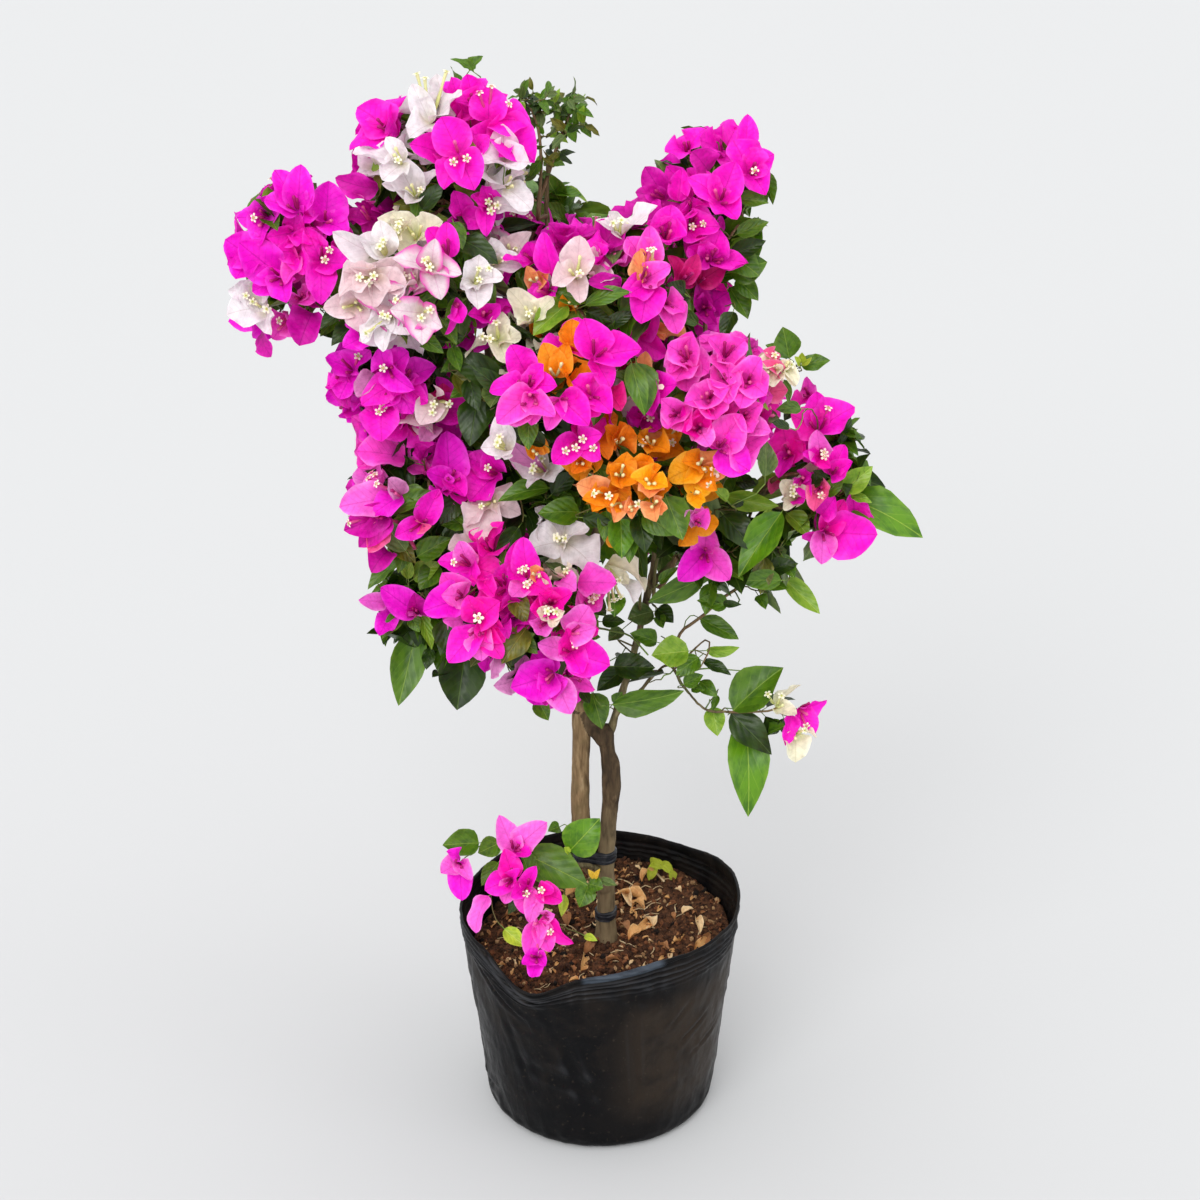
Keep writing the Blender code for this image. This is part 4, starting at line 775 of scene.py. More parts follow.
# ---------------------------------------------------------------- blossom
bract_rows = []   # (kind, foot, tip, face, width, fine)
tube_rows = []    # (kind, foot, mouth, star size, star kind)
leaf_rows = []    # (shade, foot, tip, face, width, fine)
stalk_rows = []   # (foot, end)
targets = []      # (point, arriving direction, reach kind)
front_marks = []  # (px, py, depth, reach in px) of what is placed in view
mark_kinds = []
LONGEST_BRACT = 0.041


def mark(px, py, depth, reach, kind):
    front_marks.append((px, py, depth, reach))
    mark_kinds.append(kind)



def turn_about(v, axis, angle):
    return v * math.cos(angle) + np.cross(axis, v) * math.sin(angle) + axis * (axis @ v) * (1 - math.cos(angle))


def flowers_for(kind, centre, axis, arms, stars, open_share):
    """Up to three tube flowers on the bracts' midribs, buds or open stars."""
    cream = kind in "WBCXOYAQ"
    for i, arm in enumerate(arms[:3]):
        way = unit(axis * 0.85 + arm * 0.5 + RNG.normal(0, 0.08, 3))
        length = RNG.uniform(0.014, 0.020)
        is_open = RNG.random() < open_share
        if stars is not None and i >= len(stars):
            is_open = False
        tube_rows.append(("c" if cream else ("r" if is_open or RNG.random() < 0.15 else "d"), centre + arm * 0.002, centre + way * length, 0.0035 * RNG.uniform(0.85, 1.15) if is_open else 0.0))


def bloom_in_view(corner, scale, kind, foot, tips, stars=(), lift=0.0, size=1.0):
    """A flower placed by points of the view, set on the crown's front there."""
    fx, fy = corner[0] + foot[0] / scale, corner[1] + foot[1] / scale
    if corner == (440, 805):
        depth, normal = basal_at(fx, fy)
    else:
        depth, normal = crown_at(fx, fy)
        depth += 0.013
    depth -= lift / 1000.0
    centre = onto(fx, fy, depth)
    axis = unit(-AHEAD * 0.75 + normal * 0.45 + UPWARD * 0.18) if kind not in "WBC" else unit(-AHEAD * 0.85 + normal * 0.25 + UPWARD * 0.40)
    arms = []
    for row in tips:
        tx, ty, wide = row[:3]
        own = row[3] if len(row) > 3 else kind
        tx, ty, wide = corner[0] + tx / scale, corner[1] + ty / scale, wide / scale
        flat = onto(tx, ty, depth) - centre
        shown = np.linalg.norm(flat)
        start = centre
        if shown > LONGEST_BRACT:
            start = centre + flat * (1 - LONGEST_BRACT / shown) - axis * 0.004
            shown = LONGEST_BRACT
        length = max(shown * 1.04, RNG.uniform(0.025, 0.030))
        rise = math.sqrt(max(length ** 2 - shown ** 2, 0.0))
        rise = min(rise, 0.020)
        tip = onto(tx, ty, depth - rise)
        way = unit(tip - start)
        face = unit(axis - way * (axis @ way))
        apparent = wide / FOCAL_PX * depth
        width = max(apparent, 0.58 * np.linalg.norm(tip - start))
        roll = math.acos(min(1.0, apparent / width)) * RNG.choice((-1, 1)) * 0.9
        face = turn_about(face, way, roll)
        bract_rows.append((own, start, tip, face, width * 1.04, True))
        arms.append(way)
        mark((fx + tx) / 2, (fy + ty) / 2, depth - 0.004, 15, own)
    mark(fx, fy, depth, 13, kind)
    for star in stars:
        sx, sy = corner[0] + star[0] / scale, corner[1] + star[1] / scale
        big = star[2] if len(star) > 2 else 1.0
        mouth = onto(sx, sy, depth - 0.016)
        root = centre + (onto(sx, sy, depth) - centre) * 0.25
        tube_rows.append(("c" if kind in "WBCXOYAQ" else "r", root, mouth, 0.0036 * big))
    left = 3 - len(stars)
    if left > 0 and len(arms) > 1:
        flowers_for(kind, centre, axis, arms[:left], None if kind in "WBCX" else (), 0.4 if kind in "WBCX" else 0.0)
    targets.append((centre - axis * 0.004, axis, "bloom"))


def basal_at(px, py):
    """Depth at the low shoot that leans out over the bag's rim."""
    x, y, d = seen_at((-0.060, -0.062 - 0.0006 * max(0.0, py - 880), 0.27))
    return d + 0.0, unit(-AHEAD + UPWARD * 0.3)


def loose_bloom(kind, centre, axis, size=1.0, fine=False, buds=True, keep=None):
    """A free flower of three bracts round its axis; keep says whether a tip may be there."""
    side = unit(np.cross(axis, RNG.normal(0, 1, 3)))
    for attempt in range(4):
        spin, tilt0, made = RNG.uniform(0, 2 * math.pi), RNG.uniform(0.75, 1.15), []
        for k in range(3):
            radial = turn_about(side, axis, spin + k * 2 * math.pi / 3 + RNG.normal(0, 0.12))
            tilt = tilt0 + RNG.normal(0, 0.12)
            way = unit(axis * math.cos(tilt) + radial * math.sin(tilt))
            length = RNG.uniform(0.029, 0.037) * size
            face = unit(axis - way * (axis @ way))
            made.append((way, length, turn_about(face, way, RNG.normal(0, 0.25)), length * RNG.uniform(0.80, 0.98)))
        if keep is None or all(keep(centre + way * length) for way, length, _, _ in made):
            break
        size *= 0.90
    else:
        return False
    for way, length, face, width in made:
        bract_rows.append((kind, centre, centre + way * length, face, width, fine))
    if buds:
        flowers_for(kind, centre, axis, [m[0] for m in made], None, 0.38 if kind in "WBCXOYAQ" else 0.22)
    return True


for corner, scale, rows in BLOOMS:
    for row in rows:
        bloom_in_view(corner, scale, *row)

LEAF_LONGEST = 0.062


def leaf_in_view(corner, scale, shade, foot, tip, wide, lift=0.0):
    fx, fy = corner[0] + foot[0] / scale, corner[1] + foot[1] / scale
    tx, ty = corner[0] + tip[0] / scale, corner[1] + tip[1] / scale
    if corner == (440, 805):
        depth, normal = basal_at(fx, fy)
        depth += 0.012
    else:
        depth, normal = crown_at((fx + tx) / 2, (fy + ty) / 2)
        depth += 0.010
    depth -= lift / 1000.0
    a, b = onto(fx, fy, depth + 0.004), onto(tx, ty, depth - 0.004)
    way = unit(b - a)
    up = unit(-AHEAD * 0.9 + UPWARD * 0.35 + normal * 0.3)
    face = unit(up - way * (up @ way))
    apparent = wide / scale / FOCAL_PX * depth
    length = np.linalg.norm(b - a)
    width = max(apparent, 0.40 * length)
    roll = math.acos(min(1.0, apparent / width)) * RNG.choice((-1, 1)) * 0.9
    face = turn_about(face, way, roll + RNG.normal(0, 0.12))
    leaf_rows.append((shade, a, b, face, width * 1.05, True))
    root = a - way * 0.006 + AHEAD * 0.005
    stalk_rows.append((root, a + way * 0.001))
    targets.append((root, unit(way * 0.7 - AHEAD * 0.3), "leaf"))
    mark((fx + tx) / 2, (fy + ty) / 2, depth, 10, "")


for corner, scale, rows in LEAVES:
    for row in rows:
        leaf_in_view(corner, scale, *row)

FRONT = np.array(front_marks)
MARK_KINDS = np.array(mark_kinds)
IN_BLOOM = MARK_KINDS != ""


# Where free blossom is all of some kinds: (low x, high x, low y, high y, kinds).
ONE_KIND = [(515, 610, 190, 256, "MMD"), (585, 625, 500, 545, "M"), (436, 462, 60, 92, "M")]


def kind_near(p, kinds):
    """A kind like the blossom in view nearby, or one of the mass's own kinds."""
    x, y, _ = seen_at(p)
    for low, high, top, foot, kind in ONE_KIND:
        if low < x < high and top < y < foot:
            return kind[RNG.integers(len(kind))]
    gap = np.hypot(FRONT[:, 0] - x, FRONT[:, 1] - y) + np.where(IN_BLOOM, 0.0, 1e4)
    close = [i for i in np.argsort(gap)[:3] if gap[i] < 34]
    if not close or RNG.random() < 0.10:
        return kinds[RNG.integers(len(kinds))]
    kind = str(MARK_KINDS[close[RNG.integers(len(close))]])
    if kind in "WBCXOYAQR" and kind not in kinds and gap[close[0]] > 20:
        kind = [k for k in kinds if k not in "WBCX"][0] if any(k not in "WBCX" for k in kinds) else kinds[0]
    return kind


# Where the crown shows leaves and no blossom: (px, py, radius) in view.
LEAFY = [(757, 215, 20), (762, 245, 22), (757, 275, 22), (748, 300, 22), (736, 318, 20)]
LEAF_GAPS = [
    (476, 434, 16), (472, 374, 17), (519, 496, 21), (560, 506, 16), (602, 532, 25), (436, 538, 17), (400, 538, 15), (456, 522, 12), (420, 574, 14), (398, 570, 14),
    (520, 606, 11), (524, 642, 13), (400, 556, 14), (424, 626, 12), (380, 580, 10), (394, 622, 11), (474, 240, 17), (518, 224, 13), (541, 213, 11), (608, 299, 19),
    (551, 324, 17), (593, 314, 13), (622, 324, 12), (681, 301, 14), (686, 320, 14), (627, 385, 15), (486, 373, 13), (463, 385, 17), (451, 308, 13), (448, 335, 13),
    (528, 434, 10), (415, 211, 15), (434, 198, 13), (347, 326, 13), (325, 326, 9), (454, 234, 12), (452, 363, 12), (432, 348, 10), (636, 538, 21), (666, 519, 20),
    (568, 504, 13), (686, 512, 14), (685, 591, 19), (708, 599, 12), (767, 545, 25), (744, 530, 17), (727, 488, 13), (750, 500, 17), (763, 458, 15), (800, 519, 13),
    (765, 580, 17), (788, 572, 14), (636, 564, 16), (790, 408, 10), (603, 522, 13), (420, 500, 12), (448, 506, 10),
]


# Where free blossom would stand against what is open in view: (low x, high x, low y, high y).
OPEN = [(535, 640, 40, 206), (852, 900, 430, 512), (640, 672, 40, 150), (755, 800, 40, 338), (560, 640, 40, 214)]


def in_open(p):
    x, y, _ = seen_at(p)
    return any(a < x < b and c < y < d for a, b, c, d in OPEN)


def in_leafy(p, share=1.0):
    x, y, _ = seen_at(p)
    if in_open(p):
        return True
    return any(math.hypot(x - a, y - b) < r * share for a, b, r in LEAFY + LEAF_GAPS)


def hides_view(p, spare=0.0):
    """True where a point would stand in front of what is placed in view."""
    x, y, d = seen_at(p)
    near = np.hypot(FRONT[:, 0] - x, FRONT[:, 1] - y) < FRONT[:, 3] + spare
    return bool((near & (FRONT[:, 2] + 0.004 > d)).any())


# A leafy gap with no leaf of its own gets two or three; those set further back draw from a mix with the dark shade,
# painted shade in the gap.
listed = FRONT[MARK_KINDS == ""]
for gx, gy, r in LEAF_GAPS:
    if (np.hypot(listed[:, 0] - gx, listed[:, 1] - gy) < r * 0.7).any():
        continue
    turn = RNG.uniform(0, 2 * math.pi)
    for k in range(3 if r > 15 else 2):
        heading = turn + k * RNG.uniform(1.6, 2.4)
        reach = max(r, 13) * RNG.uniform(0.95, 1.25)
        cx, cy = gx + RNG.uniform(-0.4, 0.4) * r, gy + RNG.uniform(-0.4, 0.4) * r
        dx, dy = math.cos(heading) * reach, math.sin(heading) * reach
        if dy < -0.5 * reach:
            dx, dy = -dx, -dy
        leaf_in_view((0, 0), 1.0, "dmmdo"[RNG.integers(5)] if k else "m", (cx - dx, cy - dy), (cx + dx, cy + dy), reach * RNG.uniform(1.0, 1.3), -3.0 - 3.0 * k)
FRONT = np.array(front_marks)
MARK_KINDS = np.array(mark_kinds)
IN_BLOOM = MARK_KINDS != ""

# Blossom and leaf sprays over the rest of the crown.
SOLO = ("basal_mass", "green_shoot_mass", "hanging_mass", "right_low_mass", "right_top_sprig")
golden = math.pi * (3 - math.sqrt(5))
taken = []
for name, (hub, kinds, leafy) in MASSES.items():
    if name in SOLO:
        continue
    hub = np.array(hub)
    for k in range(150):
        zz = 1 - 2 * (k + 0.5) / 150
        rr = math.sqrt(1 - zz * zz)
        way = np.array((rr * math.cos(golden * k), rr * math.sin(golden * k), zz))
        spot, normal, _, _ = OWN[name].ray_cast(Vector(hub), Vector(way))
        if spot is None:
            continue
        spot, normal = np.array(spot), np.array(normal)
        if normal @ way < 0:
            normal = -normal
        probe = Vector(spot + normal * 0.004)
        if any(OWN[o].find_nearest(probe, 0.009)[0] is not None for o in MASSES if o != name):
            continue
        to_eye = unit(EYE - spot)
        hit = WHOLE.ray_cast(Vector(EYE), Vector(-to_eye))[0]
        seen = hit is not None and np.linalg.norm(np.array(hit) - spot) < 0.012 and normal @ to_eye > 0.05
        if any(np.linalg.norm(spot - q) < 0.0235 for q in taken):
            continue
        taken.append(spot)
        low = -0.25 if normal[2] < -0.5 else 0.0
        axis = unit(normal + np.array((0, 0, 0.25 + low)) + RNG.normal(0, 0.22, 3))
        leafy_here = in_leafy(spot) and normal @ to_eye > -0.25
        if seen:
            base = spot - normal * RNG.uniform(0.012, 0.018)
            if hides_view(base, 8):
                base = spot - normal * RNG.uniform(0.030, 0.038)
            if leafy_here or RNG.random() < leafy:
                targets.append((base - normal * 0.004, axis, "spray"))
                continue
            if loose_bloom(kind_near(spot, kinds), base, unit(axis + RNG.normal(0, 0.25, 3)), 1.0, buds=False, keep=lambda t: in_blossom(t) and not in_leafy(t, 0.95) and not hides_view(t + AHEAD * 0.010, 0)):
                targets.append((base - axis * 0.003, axis, "bloom"))
            else:
                targets.append((base - normal * 0.008, axis, "spray"))
            continue
        inset = 0.020 if normal @ to_eye > -0.45 else 0.014
        base = spot - normal * inset
        if leafy_here or RNG.random() < leafy * (1.0 if normal[2] > -0.4 else 1.3):
            targets.append((base - normal * 0.006, axis, "spray"))
            continue
        kind = kind_near(spot, kinds) if normal @ to_eye > -0.25 else kinds[RNG.integers(len(kinds))]
        clear = lambda t: in_blossom(t) and not in_open(t) and not hides_view(t + AHEAD * 0.003, 2) and not (normal @ to_eye > -0.25 and in_leafy(t, 0.95))
        if not loose_bloom(kind, base, axis, keep=clear):
            targets.append((base - normal * 0.012, axis, "spray"))
            continue
        targets.append((base - axis * 0.003, axis, "bloom"))
        if RNG.random() < 0.35:
            side = unit(np.cross(axis, RNG.normal(0, 1, 3)))
            other = base + side * 0.016 - axis * 0.006
            if loose_bloom(kind, other, unit(axis + side * 0.6), 0.92, keep=clear):
                targets.append((other - axis * 0.003, axis, "bloom"))

# Blossom in the gaps that still show between what is placed in view.
BARE = {"left_low_mass", "right_leafy_mass", "right_low_mass", "hanging_mass", "green_shoot_mass", "basal_mass", "right_top_sprig"}
gap_spots = []
for gy in range(60, 720, 11):
    for gx in range(230, 880, 11):
        px, py = gx + RNG.uniform(-3, 3), gy + RNG.uniform(-3, 3)
        way = Vector(unit(sight(px, py)))
        spot, normal, _, _ = CROWN.ray_cast(Vector(EYE), way)
        if spot is None:
            continue
        spot = np.array(spot)
        name = min(MASSES, key=lambda m: (OWN[m].find_nearest(Vector(spot), 0.5)[3] if OWN[m].find_nearest(Vector(spot), 0.5)[0] is not None else 9.0))
        if name in BARE or in_leafy(spot, 1.1) or RNG.random() < MASSES[name][2] * 0.7:
            continue
        near = np.hypot(FRONT[:, 0] - px, FRONT[:, 1] - py) - FRONT[:, 3]
        if near.min() < -1.5 or any(math.hypot(px - a, py - b) < 19 for a, b in gap_spots):
            continue
        base = spot + AHEAD * RNG.uniform(0.016, 0.024)
        axis = unit(np.array(normal) * 0.5 - AHEAD * 0.8 + UPWARD * 0.15 + RNG.normal(0, 0.25, 3))
        if loose_bloom(kind_near(spot, MASSES[name][1]), base, axis, 0.92, fine=True, buds=RNG.random() < 0.4, keep=lambda t: in_blossom(t) and not in_leafy(t, 0.95) and not hides_view(t + AHEAD * 0.012, 0)):
            targets.append((base - axis * 0.003, axis, "bloom"))
            gap_spots.append((px, py))
print("gap blooms", len(gap_spots))

# Leaf sprays inside the crown, so that it is deep and not a shell.
for name, (hub, kinds, leafy) in MASSES.items():
    if name in ("basal_mass", "green_shoot_mass"):
        continue
    count = 1 if name == "hanging_mass" else 4 if name in SOLO else 6
    for _ in range(count):
        way = unit(RNG.normal(0, 1, 3))
        spot = OWN[name].ray_cast(Vector(np.array(hub)), Vector(way))[0]
        if spot is not None:
            p = np.array(hub) + (np.array(spot) - np.array(hub)) * RNG.uniform(0.3, 0.72)
            targets.append((p, unit(way + np.array((0, 0, 0.4))), "spray"))


# ---------------------------------------------------------------- twigs that grow from the limbs
def through(points, step):
    """Points every so far along a smooth curve through the given ones."""
    pts = np.asarray(points, float)
    ends = np.concatenate([[pts[0] * 2 - pts[1]], pts, [pts[-1] * 2 - pts[-2]]])
    found = []
    for a, b, c, d in zip(ends, ends[1:], ends[2:], ends[3:]):
        count = max(2, int(np.linalg.norm(c - b) / step))
        for k in range(count):
            t = k / count
            found.append(0.5 * (2 * b + (c - a) * t + (2 * a - 5 * b + 4 * c - d) * t * t + (3 * b - a - 3 * c + d) * t ** 3))
    found.append(pts[-1])
    return np.array(found)


def limb_radii(line, base_r, tip_r, flare):
    t = np.linspace(0, 1, len(line))
    return base_r + (tip_r - base_r) * t + flare * (1 - np.minimum(1.0, t * 5)) ** 2


MOST = 60000
spot_at, spot_way = np.zeros((MOST, 3)), np.zeros((MOST, 3))
spot_cost, spot_parent = np.zeros(MOST), np.full(MOST, -1)
spot_load, spot_basal = np.zeros(MOST), np.zeros(MOST, bool)
spots = 0


def add_spots(line, parent, cost=0.0, basal=False):
    global spots
    n = len(line)
    here = slice(spots, spots + n)
    spot_at[here] = line
    spot_way[here] = unit(np.gradient(line, axis=0)) if n > 1 else unit(line - spot_at[parent])
    spot_cost[here] = cost
    spot_basal[here] = basal
    spot_parent[spots] = parent
    spot_parent[spots + 1:spots + n] = np.arange(spots, spots + n - 1)
    spots += n
    return spots - n


for name, (points, base_r, tip_r, flare) in LIMBS.items():
    line = through(points, 0.006)
    low = name in STEMS
    cost = np.where(line[:, 2] < 0.43, 0.12, 0.0) if low else (0.03 if name.endswith("leader") else 0.0)
    if name == "basal_shoot":
        line, cost = line[4:], 0.0
    add_spots(line, -1, cost, name == "basal_shoot")
LIMB_SPOTS = spots

paths = []        # (first spot, count, start spot, kind)
bezier = lambda a, b, c, d, t: a * (1 - t) ** 3 + b * 3 * t * (1 - t) ** 2 + c * 3 * t * t * (1 - t) + d * t ** 3


def reach_out(p, axis, kind, basal=False):
    """Grows one twig from the best place on what has grown so far."""
    gap = p - spot_at[:spots]
    far = np.linalg.norm(gap, axis=1)
    behind = np.maximum(0.0, -(gap @ axis))
    bend = 1 - np.einsum("ij,ij->i", gap / np.maximum(far, 1e-6)[:, None], spot_way[:spots])
    cost = far + 0.6 * behind + 0.10 * np.minimum(far, 0.05) * bend + spot_cost[:spots] + np.where(spot_basal[:spots] == basal, 0.0, 1.0)
    start = int(np.argmin(cost))
    q, span = spot_at[start], far[start]
    if span < 0.004:
        paths.append((spots, 0, start, kind))
        return
    first = unit(spot_way[start] * 0.6 + unit(p - q))
    c1 = q + first * span * 0.34
    c2 = p - axis * min(0.34 * span, 0.022)
    count = max(2, int(math.ceil(span / 0.008)))
    t = (np.arange(1, count + 1) / count)[:, None]
    line = bezier(q, c1, c2, p, t)
    line[:-1] += RNG.normal(0, 0.0007, (count - 1, 3))
    first_spot = add_spots(line, start, 0.004, basal)
    spot_way[first_spot + count - 1] = unit(line[-1] - (line[-2] if count > 1 else q))
    paths.append((first_spot, count, start, kind))


def in_crown(p, spare):
    for name, hub in HUB.items():
        gap = p - hub
        d = np.linalg.norm(gap)
        if d < 0.13:
            hit = OWN[name].ray_cast(Vector(hub), Vector(gap / max(d, 1e-9)))[0]
            if hit is not None and d < np.linalg.norm(np.array(hit) - hub) + spare:
                return True
    return False


# Twigs that show in the view come first.
for pixels, foot_r, tip_r, lift in TWIGS:
    lx, ly, ld = seen_at(spot_at[:LIMB_SPOTS])
    off = np.hypot(lx - pixels[0][0], ly - pixels[0][1]) + np.where(spot_at[:LIMB_SPOTS, 1] > 0.03, 15.0, 0.0)
    start = int(np.argmin(off))
    first, last = ld[start], crown_at(*pixels[-1])[0] + 0.006 - lift / 1000
    last = min(max(last, first - 0.06), first + 0.03)
    line = [spot_at[start]] if off[start] > 5 else []
    for k, (px, py) in enumerate(pixels):
        t = (k + (1 if line else 0)) / len(pixels)
        line.append(onto(px, py, first + (last - first) * t))
    line = through(line, 0.007)[1:]
    first_spot = add_spots(line, start, 0.0)
    paths.append((first_spot, len(line), start, ("seen", foot_r / 1000, tip_r / 1000)))

# The slender green shoot at the back of the crest.
SHOOT_DEPTH = seen_at((-0.044, 0.032, 0.905))[2]
shoot_lines = [[(538, 219), (540, 190), (541, 161), (538, 128), (528, 100)], [(541, 196), (549, 172), (556, 150), (566, 124), (575, 96)]]
CLUMPS = [((536, 108), (27, 19), 13), ((577, 106), (13, 24), 9), ((556, 138), (17, 17), 8), ((548, 168), (12, 14), 3)]


def shoot_twig(line, start, foot_r, tip_r, leaves_from):
    first_spot = add_spots(line, start, 0.05)
    paths.append((first_spot, len(line), start, ("seen", foot_r, tip_r)))
    for j in range(leaves_from, len(line)):
        for side in (-1, 1):
            if RNG.random() < 0.22:
                continue
            way = unit(line[j] - line[j - 1])
            out = unit(turn_about(unit(np.cross(way, AHEAD)), way, RNG.uniform(-1.2, 1.2)) * side + way * RNG.uniform(0.3, 0.9))
            a = line[j] + out * 0.0015
            b = a + out * RNG.uniform(0.011, 0.019)
            face = unit(-AHEAD + UPWARD * 0.6 + RNG.normal(0, 0.5, 3))
            shade = "dmgdbmdo"[RNG.integers(8)] if j < len(line) - 1 else "ogml"[RNG.integers(4)]
            leaf_rows.append((shade, a, b, unit(face - out * (face @ out)), np.linalg.norm(b - a) * RNG.uniform(0.42, 0.60), False))
            stalk_rows.append((line[j], a))


stem_spots = []
for k, pixels in enumerate(shoot_lines):
    line = through([onto(px, py, SHOOT_DEPTH + 0.004 * k) for px, py in pixels], 0.006)
    tip = int(np.argmin(np.linalg.norm(spot_at[:spots] - line[0], axis=1)))
    at = spots
    shoot_twig(line, tip, 0.0011, 0.0006, 99)
    stem_spots += list(range(at + len(line) // 3, at + len(line)))
for (cx, cy), (wx, wy), count in CLUMPS:
    for _ in range(count):
        a, q = RNG.uniform(0, 2 * math.pi), math.sqrt(RNG.random())
        end = onto(cx + wx * q * math.cos(a), cy + wy * q * math.sin(a), SHOOT_DEPTH + RNG.normal(0.002, 0.012))
        gaps = np.array([np.linalg.norm(end - spot_at[i]) + 0.5 * max(0.0, spot_at[i][2] - end[2]) for i in stem_spots])
        start = stem_spots[int(np.argmin(gaps))]
        q0 = spot_at[start]
        span = np.linalg.norm(end - q0)
        if span < 0.006:
            continue
        count_t = max(2, int(span / 0.006))
        t = (np.arange(1, count_t + 1) / count_t)[:, None]
        line = bezier(q0, q0 + unit(spot_way[start] + unit(end - q0)) * span * 0.35, end - UPWARD * span * 0.3, end, t)
        shoot_twig(line, start, 0.0007, 0.0005, max(0, len(line) - 4))

order = sorted(range(len(targets)), key=lambda i: float(np.min(np.linalg.norm(spot_at[:LIMB_SPOTS] - targets[i][0], axis=1))))
for i in order:
    p, axis, kind = targets[i]
    reach_out(p, unit(axis), kind, basal=bool(p[2] < 0.36 and p[0] < 0.01))

for first, count, start, kind in paths:
    at = start if count == 0 else first + count - 1
    while at >= LIMB_SPOTS:
        spot_load[at] += 1
        at = spot_parent[at]
spot_r = 0.00052 * np.maximum(spot_load, 1) ** 0.40

twig_runs, twig_kinds = [], []
for first, count, start, kind in paths:
    if count == 0:
        continue
    own = np.arange(first, first + count)
    r = np.minimum(spot_r[own], 0.0022)
    if isinstance(kind, tuple):
        r = np.maximum(r, np.linspace(kind[1], kind[2], count))
    points = np.concatenate([spot_at[start][None], spot_at[own]])
    radii = np.concatenate([[r[0] * 1.12], r])
    young = count > 2 and spot_load[own[0]] <= 2
    twig_runs.append((points, radii))
    twig_kinds.append(2 if (young and RNG.random() < 0.45) else (1 if spot_load[own[0]] <= 4 else 0))

# ---------------------------------------------------------------- leaves along the twigs
leaf_count = {"spray": 0, "bloom": 0}


def grown_leaf(p, way, turn, shade, size, open_side=False, coarse=True):
    side = unit(np.cross(way, (0.3, 0.2, 1.0)))
    radial = turn_about(side, way, turn)
    out = unit(way * 0.5 + radial)
    petiole = RNG.uniform(0.005, 0.009)
    a = p + out * petiole
    down = RNG.uniform(-0.05, 0.5)
    lay = unit(out + np.array((0, 0, -down)))
    b = a + lay * size
    if not in_crown(b, 0.008) or hides_view(b, 3) or hides_view((a + b) / 2, 3) or not in_outline(b):
        return False
    up = unit(np.array((0, 0, 0.9)) + radial * 0.5 + RNG.normal(0, 0.3, 3))
    face = unit(up - lay * (up @ lay))
    leaf_rows.append((shade, a, b, face, size * RNG.uniform(0.50, 0.66), not coarse))
    stalk_rows.append((p, a))
    return True


for first, count, start, kind in paths:
    if isinstance(kind, tuple) or kind == "leaf":
        continue
    own = np.arange(first, first + count)
    if count == 0:
        own = np.array([start])
    line, ways_here = spot_at[own], spot_way[own]
    spin = RNG.uniform(0, 6.3)
    tip = line[-1]
    near_edge = True
    for hub in HUB.values():
        if np.linalg.norm(tip - hub) < 0.034:
            near_edge = False
    # Painted shade: leaves deep in the crown, and those at its edge on the left side, take mostly the dark shade, which
    # stands in for the shade that falls there.
    shades = "mmmmlbg" if near_edge else "ddmmd"
    if near_edge and tip[0] < -0.03 and 0.42 < tip[2] < 0.80:
        shades = "ddmdmgd"
    broad = 1.3 if min(np.linalg.norm(tip - HUB[m]) for m in ("right_leafy_mass", "left_low_mass", "right_low_mass")) < 0.075 else 1.0
    if kind == "spray":
        wanted, made = RNG.integers(3, 6) - (broad > 1), 0
        places = np.linspace(len(line) - 1, max(0, len(line) - 7), wanted).astype(int)
    else:
        wanted, made = RNG.integers(1, 4), 0
        places = np.linspace(max(0, len(line) - 2), max(0, len(line) - 5), wanted).astype(int)
    for j, place in enumerate(places):
        if grown_leaf(line[place], ways_here[place], spin + j * 2.4, shades[RNG.integers(len(shades))], RNG.uniform(0.026, 0.048) * broad, coarse=True):
            leaf_count[kind] += 1
            made += 1

print("blooms", len(bract_rows), "leaves", len(leaf_rows), leaf_count, "twigs", len(twig_runs), "spots", spots)

